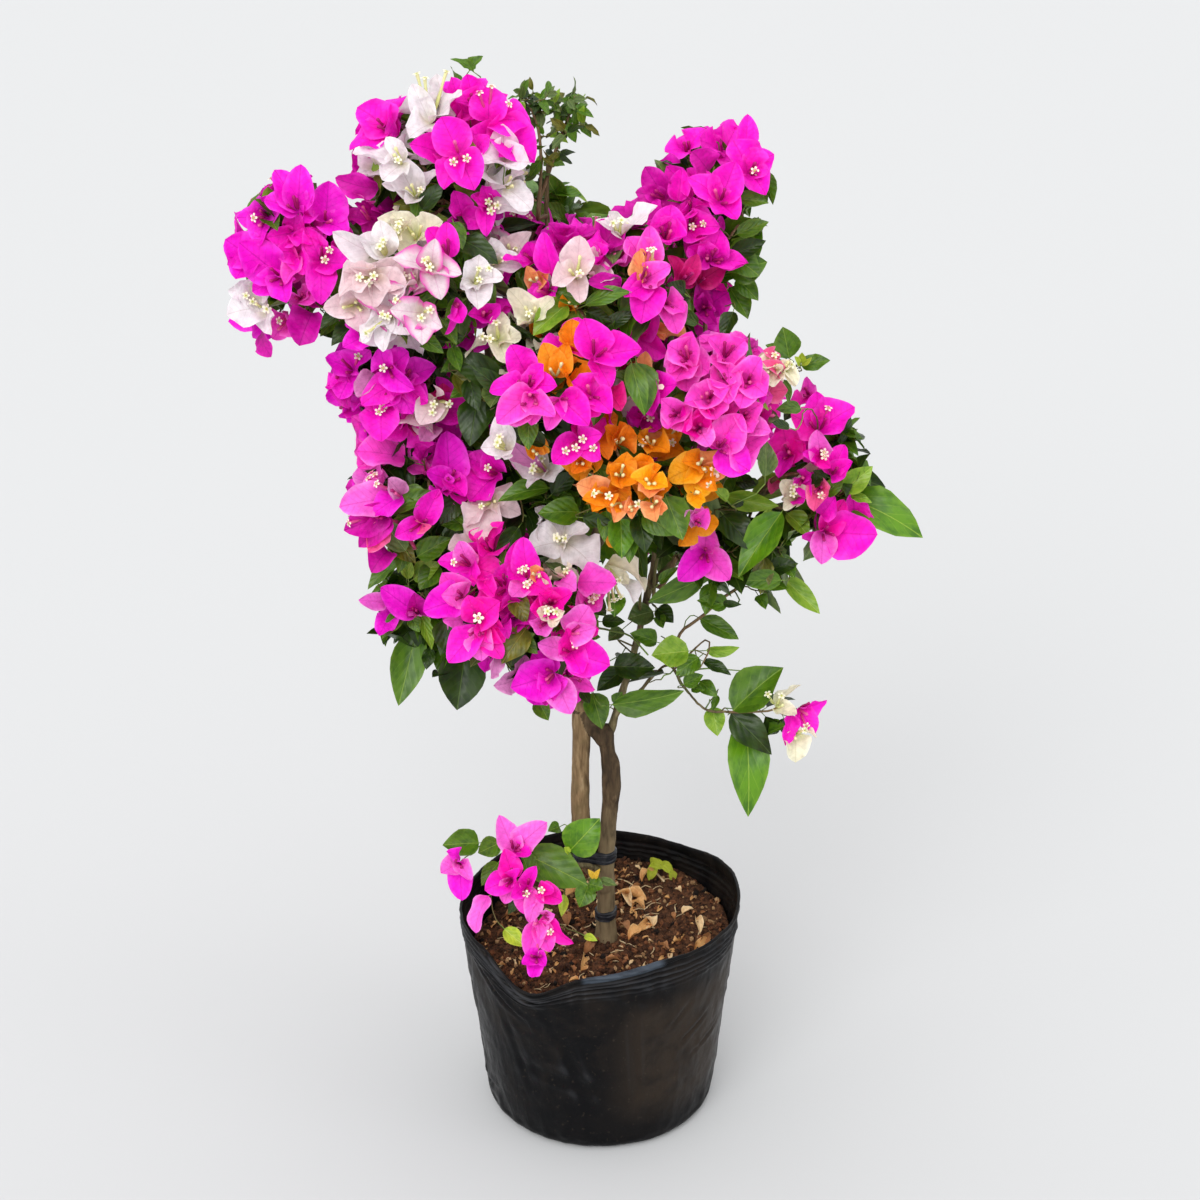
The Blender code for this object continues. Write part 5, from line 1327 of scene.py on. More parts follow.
# ---------------------------------------------------------------- blossom pieces
rgb = linear
KINDS = {
    "M": ("magenta", rgb(252, 20, 206), rgb(222, 8, 166), rgb(206, 0, 158), rgb(255, 76, 226)),
    "H": ("hot", rgb(255, 18, 186), rgb(216, 6, 146), rgb(204, 0, 138), rgb(255, 72, 206)),
    # D is partly painted shade: a darker magenta for bracts that lie in shadow.
    "D": ("deep", rgb(208, 10, 164), rgb(160, 4, 122), rgb(146, 0, 112), rgb(232, 40, 194)),
    "P": ("purple", rgb(246, 20, 214), rgb(204, 8, 172), rgb(190, 0, 162), rgb(255, 80, 234)),
    "K": ("mauve_pink", rgb(252, 72, 208), rgb(228, 34, 172), rgb(214, 34, 166), rgb(255, 138, 230)),
    "L": ("light_pink", rgb(252, 104, 220), rgb(230, 56, 182), rgb(220, 52, 180), rgb(255, 164, 236)),
    "R": ("rose", rgb(252, 96, 160), rgb(240, 66, 122), rgb(220, 50, 122), rgb(254, 146, 194)),
    "V": ("wine", rgb(214, 18, 122), rgb(168, 8, 86), rgb(150, 0, 80), rgb(232, 54, 154)),
    "U": ("pale_mauve", rgb(216, 134, 192), rgb(186, 96, 156), rgb(172, 84, 148), rgb(232, 166, 212)),
    "W": ("white", rgb(239, 233, 236), rgb(218, 212, 182), rgb(204, 186, 186), rgb(246, 243, 246)),
    "B": ("blush", rgb(234, 208, 212), rgb(218, 200, 172), rgb(208, 166, 176), rgb(246, 230, 234)),
    "C": ("cream", rgb(236, 231, 204), rgb(210, 212, 150), rgb(200, 194, 150), rgb(246, 244, 226)),
    "X": ("tipped", rgb(236, 222, 228), rgb(220, 208, 186), rgb(214, 150, 190), rgb(232, 36, 182)),
    "O": ("orange", rgb(250, 152, 18), rgb(234, 122, 28), rgb(222, 104, 12), rgb(255, 180, 60)),
    "Y": ("yellow_orange", rgb(255, 178, 18), rgb(238, 152, 28), rgb(232, 136, 8), rgb(255, 202, 70)),
    "A": ("apricot", rgb(252, 168, 106), rgb(236, 138, 96), rgb(228, 124, 80), rgb(252, 194, 144)),
    "Q": ("burnt_orange", rgb(232, 122, 18), rgb(202, 90, 20), rgb(192, 84, 10), rgb(244, 148, 42)),
}
SHADES = {
    "m": ("mid", rgb(82, 120, 22), rgb(134, 164, 60), rgb(58, 94, 16)),
    # The dark shade is darker than the leaves themselves, to deepen the gaps of the crown: painted shade.
    "d": ("dark", rgb(43, 67, 12), rgb(78, 104, 36), rgb(28, 49, 10)),
    "l": ("light", rgb(132, 168, 46), rgb(178, 204, 90), rgb(104, 144, 34)),
    "o": ("olive", rgb(104, 104, 24), rgb(148, 142, 54), rgb(76, 80, 18)),
    "g": ("grey_green", rgb(100, 122, 60), rgb(148, 164, 98), rgb(72, 96, 44)),
    "b": ("bright", rgb(92, 140, 20), rgb(150, 182, 62), rgb(62, 108, 16)),
    "y": ("yellow_green", rgb(184, 204, 58), rgb(218, 228, 110), rgb(150, 178, 46)),
    "n": ("golden", rgb(232, 196, 64), rgb(246, 224, 128), rgb(206, 164, 48)),
}
PIECES = {"magenta_blossom": "MHDPKLRVU", "white_blossom": "WBCX", "orange_blossom": "OYAQ"}


def blade_rows(rows, order, form, fine):
    pick = [r for r in rows if r[0] in order and r[5] == fine]
    if not pick:
        return None
    n = len(pick)
    b = {"foot": np.array([r[1] for r in pick]), "tip": np.array([r[2] for r in pick]), "face": np.array([r[3] for r in pick]), "width": np.array([r[4] for r in pick])}
    tile = np.array([order.index(r[0]) for r in pick])
    return b, tile, n


def bend_bracts(b, n):
    b["bow"] = RNG.normal(0.055, 0.05, n)
    b["curl"] = RNG.normal(0.05, 0.05, n)
    b["cup"] = RNG.uniform(0.26, 0.80, n)
    b["wave"] = RNG.uniform(0.16, 0.52, n)
    b["beat"] = RNG.uniform(1.1, 1.9, n)
    b["phase"] = RNG.uniform(0, 1, n)
    b["twist"] = RNG.normal(0, 0.40, n)
    b["ripple"] = RNG.uniform(0.015, 0.070, n)
    return b


def bend_leaves(b, n):
    b["bow"] = RNG.normal(0.05, 0.05, n)
    b["curl"] = RNG.uniform(-0.01, 0.10, n)
    b["cup"] = RNG.uniform(0.12, 0.62, n)
    b["wave"] = RNG.uniform(0.05, 0.30, n)
    b["beat"] = RNG.uniform(1.2, 2.2, n)
    b["phase"] = RNG.uniform(0, 1, n)
    b["twist"] = RNG.normal(0, 0.35, n)
    return b


pieces = {}
for piece, order in PIECES.items():
    parts = []
    for fine, (rows, cols) in ((True, (11, 8)), (False, (8, 6))):
        found = blade_rows(bract_rows, order, BRACT_FORM, fine)
        if found:
            b, tile, n = found
            parts.append(blades(bend_bracts(b, n), rows, cols, BRACT_FORM, tile))
    verts, faces, kinds, uv = joined(parts)
    mats = []
    for i, k in enumerate(order):
        label, body, foot, vein, rim = KINDS[k]
        pale = k in "WBCX"
        mats.append(bract_material(label + "_bract", i, body, foot, vein, rim, rim_from=0.45 if k == "X" else 0.55, glow=0.30 if not pale else 0.32, rim_share=0.9 if k == "X" else 0.60, crease=0.30 if pale else 0.55))
    pieces[piece] = mesh_piece(piece, verts, faces, kinds, mats, uv)

parts = []
for fine, (rows, cols) in ((True, (9, 6)), (False, (7, 4))):
    found = blade_rows(leaf_rows, "mdlogbyn", LEAF_FORM, fine)
    if found:
        b, tile, n = found
        parts.append(blades(bend_leaves(b, n), rows, cols, LEAF_FORM, tile))
verts, faces, kinds, uv = joined(parts)
mats = [leaf_material(SHADES[k][0] + "_leaf", i, *SHADES[k][1:]) for i, k in enumerate("mdlogbyn")]
pieces["leaves"] = mesh_piece("leaves", verts, faces, kinds, mats, uv)

# Twigs, and the stalks of the leaves.
twigs = tubes(twig_runs, 5, twig_kinds)


def prisms(rows, wide, tile, sides=3):
    """Short straight stalks."""
    a, b = np.array([r[0] for r in rows]), np.array([r[1] for r in rows])
    n = len(a)
    way = unit(b - a)
    x = unit(np.cross(way, (0.31, 0.17, 0.93)))
    y = np.cross(way, x)
    turn = 2 * math.pi * np.arange(sides) / sides
    ring = np.cos(turn)[None, :, None] * x[:, None] + np.sin(turn)[None, :, None] * y[:, None]
    verts = np.concatenate([a[:, None] + ring * wide * 1.25, b[:, None] + ring * wide], 1)
    shift = (np.arange(n) * 2 * sides)[:, None, None]
    j = np.arange(sides)
    k = (j + 1) % sides
    quads = (np.stack([j, k, k + sides, j + sides], -1)[None] + shift).reshape(-1, 4)
    tris = (np.array([[0, 2, 1], [sides, sides + 1, sides + 2]])[None] + shift).reshape(-1, 3)
    q = np.tile(np.array([[0, 0], [.3, 0], [.3, 1], [0, 1]], float), (n * sides, 1))
    t = np.tile(np.array([[0, 0], [.3, .02], [.1, .02]], float), (n * 2, 1))
    return dict(verts=verts.reshape(-1, 3), quads=quads, tris=tris, quad_uv=in_tile(q[:, 0], q[:, 1], tile), tri_uv=in_tile(t[:, 0], t[:, 1], tile), quad_kind=np.full(len(quads), tile), tri_kind=np.full(len(tris), tile))


verts, faces, kinds, uv = joined([twigs, prisms(stalk_rows, 0.00042, 2)])
mats = [
    tube_material("woody_twig", 0, rgb(112, 88, 62), rgb(120, 100, 66), 0.75, rgb(160, 136, 104)),
    tube_material("young_twig", 1, rgb(96, 84, 48), rgb(98, 104, 48), 0.65, rgb(132, 112, 70)),
    tube_material("green_twig", 2, rgb(98, 124, 52), rgb(128, 158, 66), 0.55),
]
pieces["twigs"] = mesh_piece("twigs", verts, faces, kinds, mats, uv)


# ---------------------------------------------------------------- the small flowers
def small_flowers(rows):
    """Tubes with a swollen foot and a waist; an open one ends in a five-lobed star."""
    a, b = np.array([r[1] for r in rows]), np.array([r[2] for r in rows])
    star = np.array([r[3] for r in rows])
    tile = np.array([{"c": 0, "r": 1, "d": 2}[r[0]] for r in rows])
    n = len(rows)
    way = unit(b - a)
    length = np.linalg.norm(b - a, axis=1)
    x = unit(np.cross(way, (0.31, 0.17, 0.93)))
    x = x * np.cos(1.0) + np.cross(way, x) * np.sin(1.0)
    y = np.cross(way, x)
    levels = np.array([0.0, 0.22, 0.42, 0.66, 0.92, 1.0])
    open_r = np.array([0.0009, 0.0016, 0.0015, 0.0011, 0.0015, 0.0018])
    bud_r = np.array([0.0009, 0.0015, 0.0013, 0.0011, 0.0017, 0.0006])
    is_open = star > 0
    r = np.where(is_open[:, None], open_r, bud_r)
    bow = RNG.normal(0, 0.09, (n, 1, 1)) * x[:, None] * (length[:, None, None] * np.sin(math.pi * levels * 0.5)[None, :, None])
    mid = a[:, None] + way[:, None] * (levels[None, :, None] * length[:, None, None]) + bow
    turn = 2 * math.pi * np.arange(5) / 5
    ring = np.cos(turn)[None, :, None] * x[:, None] + np.sin(turn)[None, :, None] * y[:, None]
    tube = mid[:, :, None] + ring[:, None] * r[:, :, None, None]
    top = mid[:, -1] + way * np.where(is_open, -0.0008, 0.0005)[:, None]
    verts = np.concatenate([tube.reshape(n, 30, 3), top[:, None]], 1)
    shift = (np.arange(n) * 31)[:, None, None]
    g = np.arange(30).reshape(6, 5)
    h = np.roll(g, -1, 1)
    quads = np.stack([g[:-1], h[:-1], h[1:], g[1:]], -1).reshape(-1, 4)
    tris = np.stack([g[-1], h[-1], np.full(5, 30)], -1)
    j = np.arange(5) / 5
    qv = np.stack([np.stack([np.broadcast_to(j, (5, 5)), np.broadcast_to(levels[:-1, None], (5, 5))], -1), np.stack([np.broadcast_to(j + .2, (5, 5)), np.broadcast_to(levels[:-1, None], (5, 5))], -1),
                   np.stack([np.broadcast_to(j + .2, (5, 5)), np.broadcast_to(levels[1:, None], (5, 5))], -1), np.stack([np.broadcast_to(j, (5, 5)), np.broadcast_to(levels[1:, None], (5, 5))], -1)], -2).reshape(-1, 2)
    tv = np.stack([np.stack([j, np.full(5, .98)], -1), np.stack([j + .2, np.full(5, .98)], -1), np.stack([j + .1, np.full(5, 1.0)], -1)], -2).reshape(-1, 2)
    body = dict(verts=verts.reshape(-1, 3), quads=(quads[None] + shift).reshape(-1, 4), tris=(tris[None] + shift).reshape(-1, 3),
                quad_uv=in_tile(np.tile(qv[:, 0], n), np.tile(qv[:, 1], n), np.repeat(tile, len(qv))), tri_uv=in_tile(np.tile(tv[:, 0], n), np.tile(tv[:, 1], n), np.repeat(tile, len(tv))),
                quad_kind=np.repeat(tile, len(quads)), tri_kind=np.repeat(tile, len(tris)))
    # Stars: a centre, five notches and five lobes with a rounded end and a crease.
    pick = np.where(is_open)[0]
    m = len(pick)
    c, w, xx, yy, s = mid[pick, -1], way[pick], x[pick], y[pick], star[pick]
    lobes = []
    for k in range(5):
        for off, reach, rise in ((-0.628, 0.42, 0.02), (-0.33, 0.92, -0.06), (0.0, 1.06, -0.18), (0.33, 0.92, -0.06)):
            ang = k * 2 * math.pi / 5 + off
            lobes.append((c + (np.cos(ang) * xx + np.sin(ang) * yy) * (s * reach)[:, None] + w * (s * rise)[:, None]))
    rim = np.stack(lobes, 1)
    centre = c - w * 0.0003
    sv = np.concatenate([rim, centre[:, None]], 1)
    ids = np.arange(20)
    st = np.stack([ids, np.roll(ids, -1), np.full(20, 20)], -1)
    shift = (np.arange(m) * 21)[:, None, None]
    ang = np.array([k * 2 * math.pi / 5 + off for k in range(5) for off in (-0.628, -0.33, 0.0, 0.33)])
    reach = np.array([q for k in range(5) for q in (0.42, 0.92, 1.06, 0.92)])
    ru, rv = 0.5 + 0.45 * reach * np.cos(ang), 0.5 + 0.45 * reach * np.sin(ang)
    tu = np.stack([ru, np.roll(ru, -1), np.full(20, .5)], -1).ravel()
    tw = np.stack([rv, np.roll(rv, -1), np.full(20, .5)], -1).ravel()
    stars = dict(verts=sv.reshape(-1, 3), quads=np.zeros((0, 4), int), tris=(st[None] + shift).reshape(-1, 3), quad_uv=np.zeros((0, 2)), tri_uv=in_tile(np.tile(tu, m), np.tile(tw, m), 3), quad_kind=np.zeros(0, int), tri_kind=np.full(m * 20, 3))
    return [body, stars]


star_sh = Shader("star_cream", 0.5, 0.3)
su, sv_, flat = star_sh.sheet(3)
away = star_sh.math("SQRT", star_sh.math("ADD", star_sh.math("POWER", star_sh.math("SUBTRACT", su, 0.5), 2.0), star_sh.math("POWER", star_sh.math("SUBTRACT", sv_, 0.5), 2.0)))
star_colour = star_sh.mix(star_sh.step(away, 0.05, 0.22), rgb(196, 196, 90), rgb(250, 246, 222))
star_sh.put(star_sh.bsdf.inputs["Base Color"], star_colour)
star_sh.thin(star_colour, 0.2)
verts, faces, kinds, uv = joined(small_flowers(tube_rows))
mats = [
    tube_material("cream_tube", 0, rgb(198, 206, 118), rgb(232, 230, 172), 0.5),
    tube_material("rose_tube", 1, rgb(196, 24, 124), rgb(222, 96, 154), 0.5),
    tube_material("dark_tube", 2, rgb(140, 10, 88), rgb(172, 26, 110), 0.5),
    star_sh.mat,
]
pieces["small_flowers"] = mesh_piece("small_flowers", verts, faces, kinds, mats, uv)


# ---------------------------------------------------------------- bark
def lathe_tube(line, radii, sides):
    """Verts and faces of one closed tube."""
    made = tubes([(line, radii)], sides, [0])
    return made["verts"], made["quads"], made["tris"]


def evaluated(obj):
    graph = bpy.context.evaluated_depsgraph_get()
    mesh = bpy.data.meshes.new_from_object(obj.evaluated_get(graph))
    obj.modifiers.clear()
    obj.data = mesh
    return obj


def coords(mesh):
    co = np.zeros(len(mesh.vertices) * 3, np.float32)
    mesh.vertices.foreach_get("co", co)
    return co.reshape(-1, 3).astype(float)


def fractal(p, octaves=3):
    return sum(noise.noise(Vector(p) * 2 ** k) / 2 ** k for k in range(octaves))


def bark_relief(mesh, amount, grain, groove):
    """Pushes a limb's surface out and in: long furrows, knots and fine grain."""
    co = coords(mesh)
    no = np.zeros(len(co) * 3, np.float32)
    mesh.vertices.foreach_get("normal", no)
    no = no.reshape(-1, 3)
    move = np.zeros(len(co))
    for i, p in enumerate(co):
        long = noise.noise(Vector((p[0] * groove, p[1] * groove, p[2] * groove * 0.16)))
        knots = noise.noise(Vector((p[0] * 60 + 9, p[1] * 60, p[2] * 60)))
        fine = noise.noise(Vector((p[0] * grain, p[1] * grain, p[2] * grain * 0.35 + 4)))
        move[i] = amount * (0.9 * (0.35 - abs(long)) + 1.0 * knots + 0.35 * fine)
    mesh.vertices.foreach_set("co", (co + no * move[:, None]).astype(np.float32).ravel())
    mesh.update()


stem_verts, stem_faces, base = [], [], 0
SWELLS = [((0.0106, -0.001, 0.336), 0.0091, 0.0330), ((0.0055, -0.002, 0.384), 0.0078, 0.0120), ((-0.0165, 0.004, 0.402), 0.0088, 0.0130),
          ((0.0045, -0.001, 0.230), 0.0104, 0.0150), ((0.0128, -0.0070, 0.322), 0.0036, 0.0040)]
THICKER = {"trunk": 0.90, "second_stem": 1.17, "fused_arm": 0.95}
for name in STEMS:
    points, base_r, tip_r, flare = LIMBS[name]
    line = through(points, 0.003)
    if name == "trunk":
        line = np.concatenate([[line[0] + (0, 0, -0.012)], line])
    radii = limb_radii(line, base_r, tip_r, flare) * THICKER[name]
    v, q, t = lathe_tube(line, radii, 20)
    stem_verts.append(v)
    stem_faces += [tuple(int(i) + base for i in f) for f in q] + [tuple(int(i) + base for i in f) for f in t]
    base += len(v)
for centre, wide, tall in SWELLS:
    bm = bmesh.new()
    bmesh.ops.create_icosphere(bm, subdivisions=3, radius=1.0)
    v = np.array([tuple(p.co) for p in bm.verts]) * (wide, wide, tall) + centre
    stem_faces += [tuple(p.index + base for p in f.verts) for f in bm.faces]
    stem_verts.append(v)
    base += len(v)
    bm.free()
mesh = bpy.data.meshes.new("stems")
mesh.from_pydata(np.concatenate(stem_verts).tolist(), [], stem_faces)
stems = bpy.data.objects.new("stems", mesh)
bpy.context.scene.collection.objects.link(stems)
mod = stems.modifiers.new("join", "REMESH")
mod.mode = "VOXEL"
mod.voxel_size = 0.0011
mod = stems.modifiers.new("ease", "SMOOTH")
mod.iterations = 14
evaluated(stems)
bark_relief(stems.data, 0.00062, 420.0, 230.0)
stems.data.polygons.foreach_set("use_smooth", np.full(len(stems.data.polygons), True))


def bark_material(name, dark, body, pale, stain, foot=None):
    sh = Shader(name, 0.82, 0.25)
    place = sh.node("ShaderNodeTexCoord").outputs["Object"]
    long = sh.node("ShaderNodeMapping", {0: place, "Scale": (1.0, 1.0, 0.22)}).outputs[0]
    furrow = sh.noise(long, 170.0, 5.0, 0.55, 0.4)
    patch = sh.noise(place, 34.0, 5.0, 0.6)
    speck = sh.noise(long, 620.0, 3.0, 0.6)
    colour = sh.mix(sh.step(furrow, 0.30, 0.60), dark, body)
    colour = sh.mix(sh.step(furrow, 0.52, 0.74, 0.0, 0.85), colour, pale)
    colour = sh.mix(sh.step(patch, 0.48, 0.66, 0.0, 0.7), colour, stain)
    colour = sh.mix(sh.step(speck, 0.58, 0.72, 0.0, 0.4), colour, dark)
    if foot:
        # The trunk is lighter below about 0.3 m.
        height = sh.node("ShaderNodeSeparateXYZ", {0: place}).outputs[2]
        colour = sh.mix(sh.math("MULTIPLY", sh.step(sh.math("ADD", height, sh.math("MULTIPLY", patch, 0.03)), 0.335, 0.290), sh.step(furrow, 0.30, 0.60, 0.25, 0.60)), colour, foot)
    sh.put(sh.bsdf.inputs["Base Color"], colour)
    sh.bump(sh.math("ADD", furrow, sh.math("MULTIPLY", speck, 0.3)), 0.45, 0.0010)
    return sh.mat


stems.data.materials.append(bark_material("trunk_bark", rgb(46, 35, 24), rgb(79, 63, 44), rgb(110, 92, 68), rgb(53, 42, 28), rgb(140, 123, 92)))
stems.data.materials.append(bark_material("scion_bark", rgb(83, 64, 42), rgb(133, 109, 77), rgb(165, 143, 109), rgb(104, 89, 59)))
co = coords(stems.data)
left_line = through(LIMBS["second_stem"][0], 0.001)
trunk_line = np.concatenate([through(LIMBS["trunk"][0], 0.003), through(LIMBS["fused_arm"][0], 0.003)])
side_of = []
for poly in stems.data.polygons:
    c = np.array(poly.center)
    side_of.append(int(np.min(np.linalg.norm(left_line - c, axis=1)) < np.min(np.linalg.norm(trunk_line - c, axis=1))))
stems.data.polygons.foreach_set("material_index", side_of)

runs = []
for name, (points, base_r, tip_r, flare) in LIMBS.items():
    if name in STEMS:
        continue
    line = through(points, 0.0032)
    radii = limb_radii(line, base_r * (0.62 if name == "right_leader" else 1.0), tip_r, flare) * (0.60 if name == "right_low_bough" else 1.0)
    wobble = np.array([fractal(p * 90.0, 2) for p in line])
    joints = 0.10 * np.exp(-((np.arange(len(line)) % 9 - 4) / 1.2) ** 2)
    runs.append((line + RNG.normal(0, 0.00018, line.shape), radii * (1 + 0.16 * wobble + joints)))
made = tubes(runs, 12, [0] * len(runs))
verts, faces, kinds, uv = joined([made])
boughs = mesh_piece("boughs", verts, faces, kinds, [bark_material("bough_bark", rgb(66, 58, 40), rgb(112, 100, 70), rgb(152, 138, 104), rgb(92, 100, 58))])
bark_relief(boughs.data, 0.00045, 700.0, 420.0)


# ---------------------------------------------------------------- black ties
def tie(name, circles, low, high, thick, turns):
    """A film tie wound round one or two stems: overlapping turns with a wavy edge."""
    n_round, n_up = 96, 22
    theta = 2 * math.pi * np.arange(720) / 720
    normal = np.stack([np.cos(theta), np.sin(theta)], -1)
    support = np.stack([c[0] * normal[:, 0] + c[1] * normal[:, 1] + c[2] for c in circles], 1)
    which = support.argmax(1)
    outline_pts = np.array([np.array(circles[w][:2]) + circles[w][2] * n for w, n in zip(which, normal)])
    gaps = np.linalg.norm(np.roll(outline_pts, -1, 0) - outline_pts, axis=1)
    dist = np.concatenate([[0], np.cumsum(gaps)])
    ring_at = np.linspace(0, dist[-1], n_round, endpoint=False)
    closed_pts = np.concatenate([outline_pts, outline_pts[:1]])
    ring = np.stack([np.interp(ring_at, dist, closed_pts[:, i]) for i in (0, 1)], -1)
    centre = ring.mean(0)
    tangent = unit(np.roll(ring, -1, 0) - np.roll(ring, 1, 0))
    out = np.stack([tangent[:, 1], -tangent[:, 0]], -1)
    out *= np.sign(np.einsum("ij,ij->i", out, ring - centre))[:, None]
    verts = []
    for k in range(n_up):
        t = k / (n_up - 1)
        for j in range(n_round):
            a = j / n_round
            wave = noise.noise(Vector((math.cos(a * 6.283) * 1.5, math.sin(a * 6.283) * 1.5, t * 2.2 + low * 90)))
            crease = noise.noise(Vector((math.cos(a * 6.283) * 2.0, math.sin(a * 6.283) * 2.0, t * 16 + 5)))
            lap = ((t * turns + a) % 1.0)
            edge = min(1.0, t / 0.09, (1 - t) / 0.09)
            push = -0.0016 + (thick + 0.0016) * math.sqrt(max(0.0, edge)) + 0.0005 * wave + 0.0004 * crease * edge + 0.00055 * lap * edge
            z = low + (high - low) * t + 0.0014 * math.sin(6.283 * a + 0.7) + 0.0009 * wave
            p = ring[j] + out[j] * push
            verts.append((p[0], p[1], z))
    g = np.arange(n_up * n_round).reshape(n_up, n_round)
    h = np.roll(g, -1, 1)
    quads = np.stack([g[:-1], h[:-1], h[1:], g[1:]], -1).reshape(-1, 4)
    return np.array(verts), quads


def place_on(name, z):
    line = through(LIMBS[name][0], 0.002)
    radii = limb_radii(line, *LIMBS[name][1:])
    i = int(np.argmin(np.abs(line[:, 2] - z)))
    return (line[i][0], line[i][1], radii[i])


a_verts, a_quads = tie("upper", [tuple(place_on("trunk", 0.254)[:2]) + (0.0086,), (-0.0155, 0.0040, 0.0084)], 0.2520, 0.2645, 0.0010, 3)
low_ring = place_on("trunk", 0.197)
b_verts, b_quads = tie("lower", [low_ring[:2] + (low_ring[2] * 0.90,)], 0.1900, 0.2000, 0.0012, 2)
tape = mesh_piece("ties", np.concatenate([a_verts, b_verts]), [a_quads, b_quads + len(a_verts)], np.zeros(len(a_quads) + len(b_quads), int), [])
sh = Shader("tie_film", 0.42, 0.45)
place = sh.node("ShaderNodeTexCoord").outputs["Object"]
dust = sh.noise(place, 120.0, 5.0, 0.65)
sh.put(sh.bsdf.inputs["Base Color"], sh.mix(sh.step(dust, 0.48, 0.70, 0.0, 0.6), rgb(25, 28, 35), rgb(70, 70, 72)))
sh.put(sh.bsdf.inputs["Roughness"], sh.step(dust, 0.3, 0.7, 0.30, 0.62))
sh.bump(sh.noise(sh.node("ShaderNodeMapping", {0: place, "Scale": (0.4, 0.4, 3.0)}).outputs[0], 300.0, 4.0), 0.5, 0.0008)
tape.data.materials.append(sh.mat)


# ---------------------------------------------------------------- the film bag
def bump(theta, at, wide):
    return np.exp(-(((theta - at + math.pi) % (2 * math.pi) - math.pi) / wide) ** 2)


def bank(theta, radius):
    out = np.clip((radius - SOIL_FLAT_R) / (0.121 - SOIL_FLAT_R), 0.0, 1.0)
    return 0.025 * np.maximum(0.0, np.cos(theta - 1.15)) * out ** 1.1


def slump(theta, radius, z):
    t = np.maximum(0.0, z / BAG_HEIGHT)
    out = np.maximum(0.0, (radius - SOIL_FLAT_R) / (BAG_RIM_R - SOIL_FLAT_R))
    swell = 0.014 * np.cos(2 * theta - 0.5) + 0.007 * np.cos(3 * theta + 1.9)
    lift = 0.0055 * np.cos(theta - 0.75) + 0.003 * np.cos(3 * theta + 0.4)
    lift = lift + 0.009 * bump(theta, -1.15, 0.40) - 0.031 * bump(theta, -2.12, 0.31) - 0.004 * bump(theta, 1.3, 0.5)
    return 1.0 + swell * t, lift * out * np.maximum(0.0, (t - 0.55) / 0.45) ** 1.5


def bag_side(z):
    return 0.1095 + (BAG_RIM_R - 0.1095) * np.clip((z - 0.012) / (BAG_HEIGHT - 0.012), 0, 1) ** 0.9


def bag_at(px, py):
    """(angle, height) of the bag's front wall at a point of the view."""
    way = sight(px, py)
    for d in np.linspace(1.5, 2.6, 2200):
        p = EYE + way * d
        if 0 < p[2] < BAG_HEIGHT + 0.01:
            theta = math.atan2(p[1], p[0])
            grow, _ = slump(theta, 0.12, max(p[2], 0.0))
            if math.hypot(p[0], p[1]) < float(bag_side(p[2])) * float(grow):
                return theta, float(p[2])
    return -math.pi / 2, 0.1


AROUND = 400
theta = 2 * math.pi * np.arange(AROUND) / AROUND
up_levels = np.concatenate([np.linspace(0.012, 0.172, 54), np.linspace(0.1735, 0.2070, 28)])
profile = [(r, 0.0, 0.0) for r in (0.012, 0.04, 0.068, 0.088, 0.097)]
profile += [(0.0975 + 0.012 * math.sin(a), 0.012 - 0.012 * math.cos(a), 0.3) for a in np.linspace(0.25, 1.45, 6)]
profile += [(float(bag_side(z)), float(z), 1.0) for z in up_levels]
LIP = [(0.0010, 0.0086, 1.0), (0.0015, 0.0098, 1.0), (0.0012, 0.0109, 1.0), (0.0002, 0.0114, 1.0), (-0.0008, 0.0111, 1.0), (-0.0014, 0.0100, 1.0)]
profile += [(BAG_RIM_R + dr, 0.200 + dz, w) for dr, dz, w in LIP]
profile += [(float(bag_side(z)) - 0.0016, float(z), 1.0) for z in np.concatenate([np.linspace(0.2075, 0.180, 18), np.linspace(0.178, 0.142, 10)])]
profile = np.array(profile)
FOLDS = []
# (angle, height) pairs with depth and width in mm: folds and dents of the front, then of the rest.
for a, b, depth, wide in [((480, 938), (542, 988), 2.2, 3.2), ((478, 960), (520, 1010), 1.4, 2.6), ((492, 920), (560, 962), 1.2, 3.0), ((633, 1010), (637, 1100), 1.0, 3.5), ((560, 1035), (590, 1110), 0.9, 5.0),
                          ((683, 1040), (705, 1014), 1.8, 2.2), ((692, 1052), (716, 1022), 1.3, 2.0), ((668, 1030), (690, 1004), 0.8, 2.6), ((600, 985), (660, 1000), 0.7, 5.0), ((520, 1060), (600, 1090), 0.8, 6.0),
                          ((505, 1010), (530, 1085), 0.9, 4.0), ((660, 1060), (700, 1095), 0.9, 4.5), ((575, 975), (585, 1030), 0.6, 3.2), ((650, 950), (655, 1010), 0.5, 4.0)]:
    (t0, z0), (t1, z1) = bag_at(*a), bag_at(*b)
    FOLDS.append((t0, z0, t1, z1, depth * 1.25 / 1000, wide / 1000))
for _ in range(46):
    t0, z0 = RNG.uniform(-0.3, math.pi + 0.3), RNG.uniform(0.02, 0.19)
    lean, run = RNG.normal(0, 0.8), RNG.uniform(0.02, 0.07)
    FOLDS.append((t0, z0, t0 + math.sin(lean) * run / 0.12, float(np.clip(z0 + math.cos(lean) * run, 0.012, 0.20)), RNG.uniform(0.5, 1.9) / 1000, RNG.uniform(2.0, 5.0) / 1000))
T, K = np.meshgrid(theta, np.arange(len(profile)))
R0, Z0, W0 = profile[K, 0], profile[K, 1], profile[K, 2]
inside = K >= len(profile) - 28
push = np.zeros_like(R0)
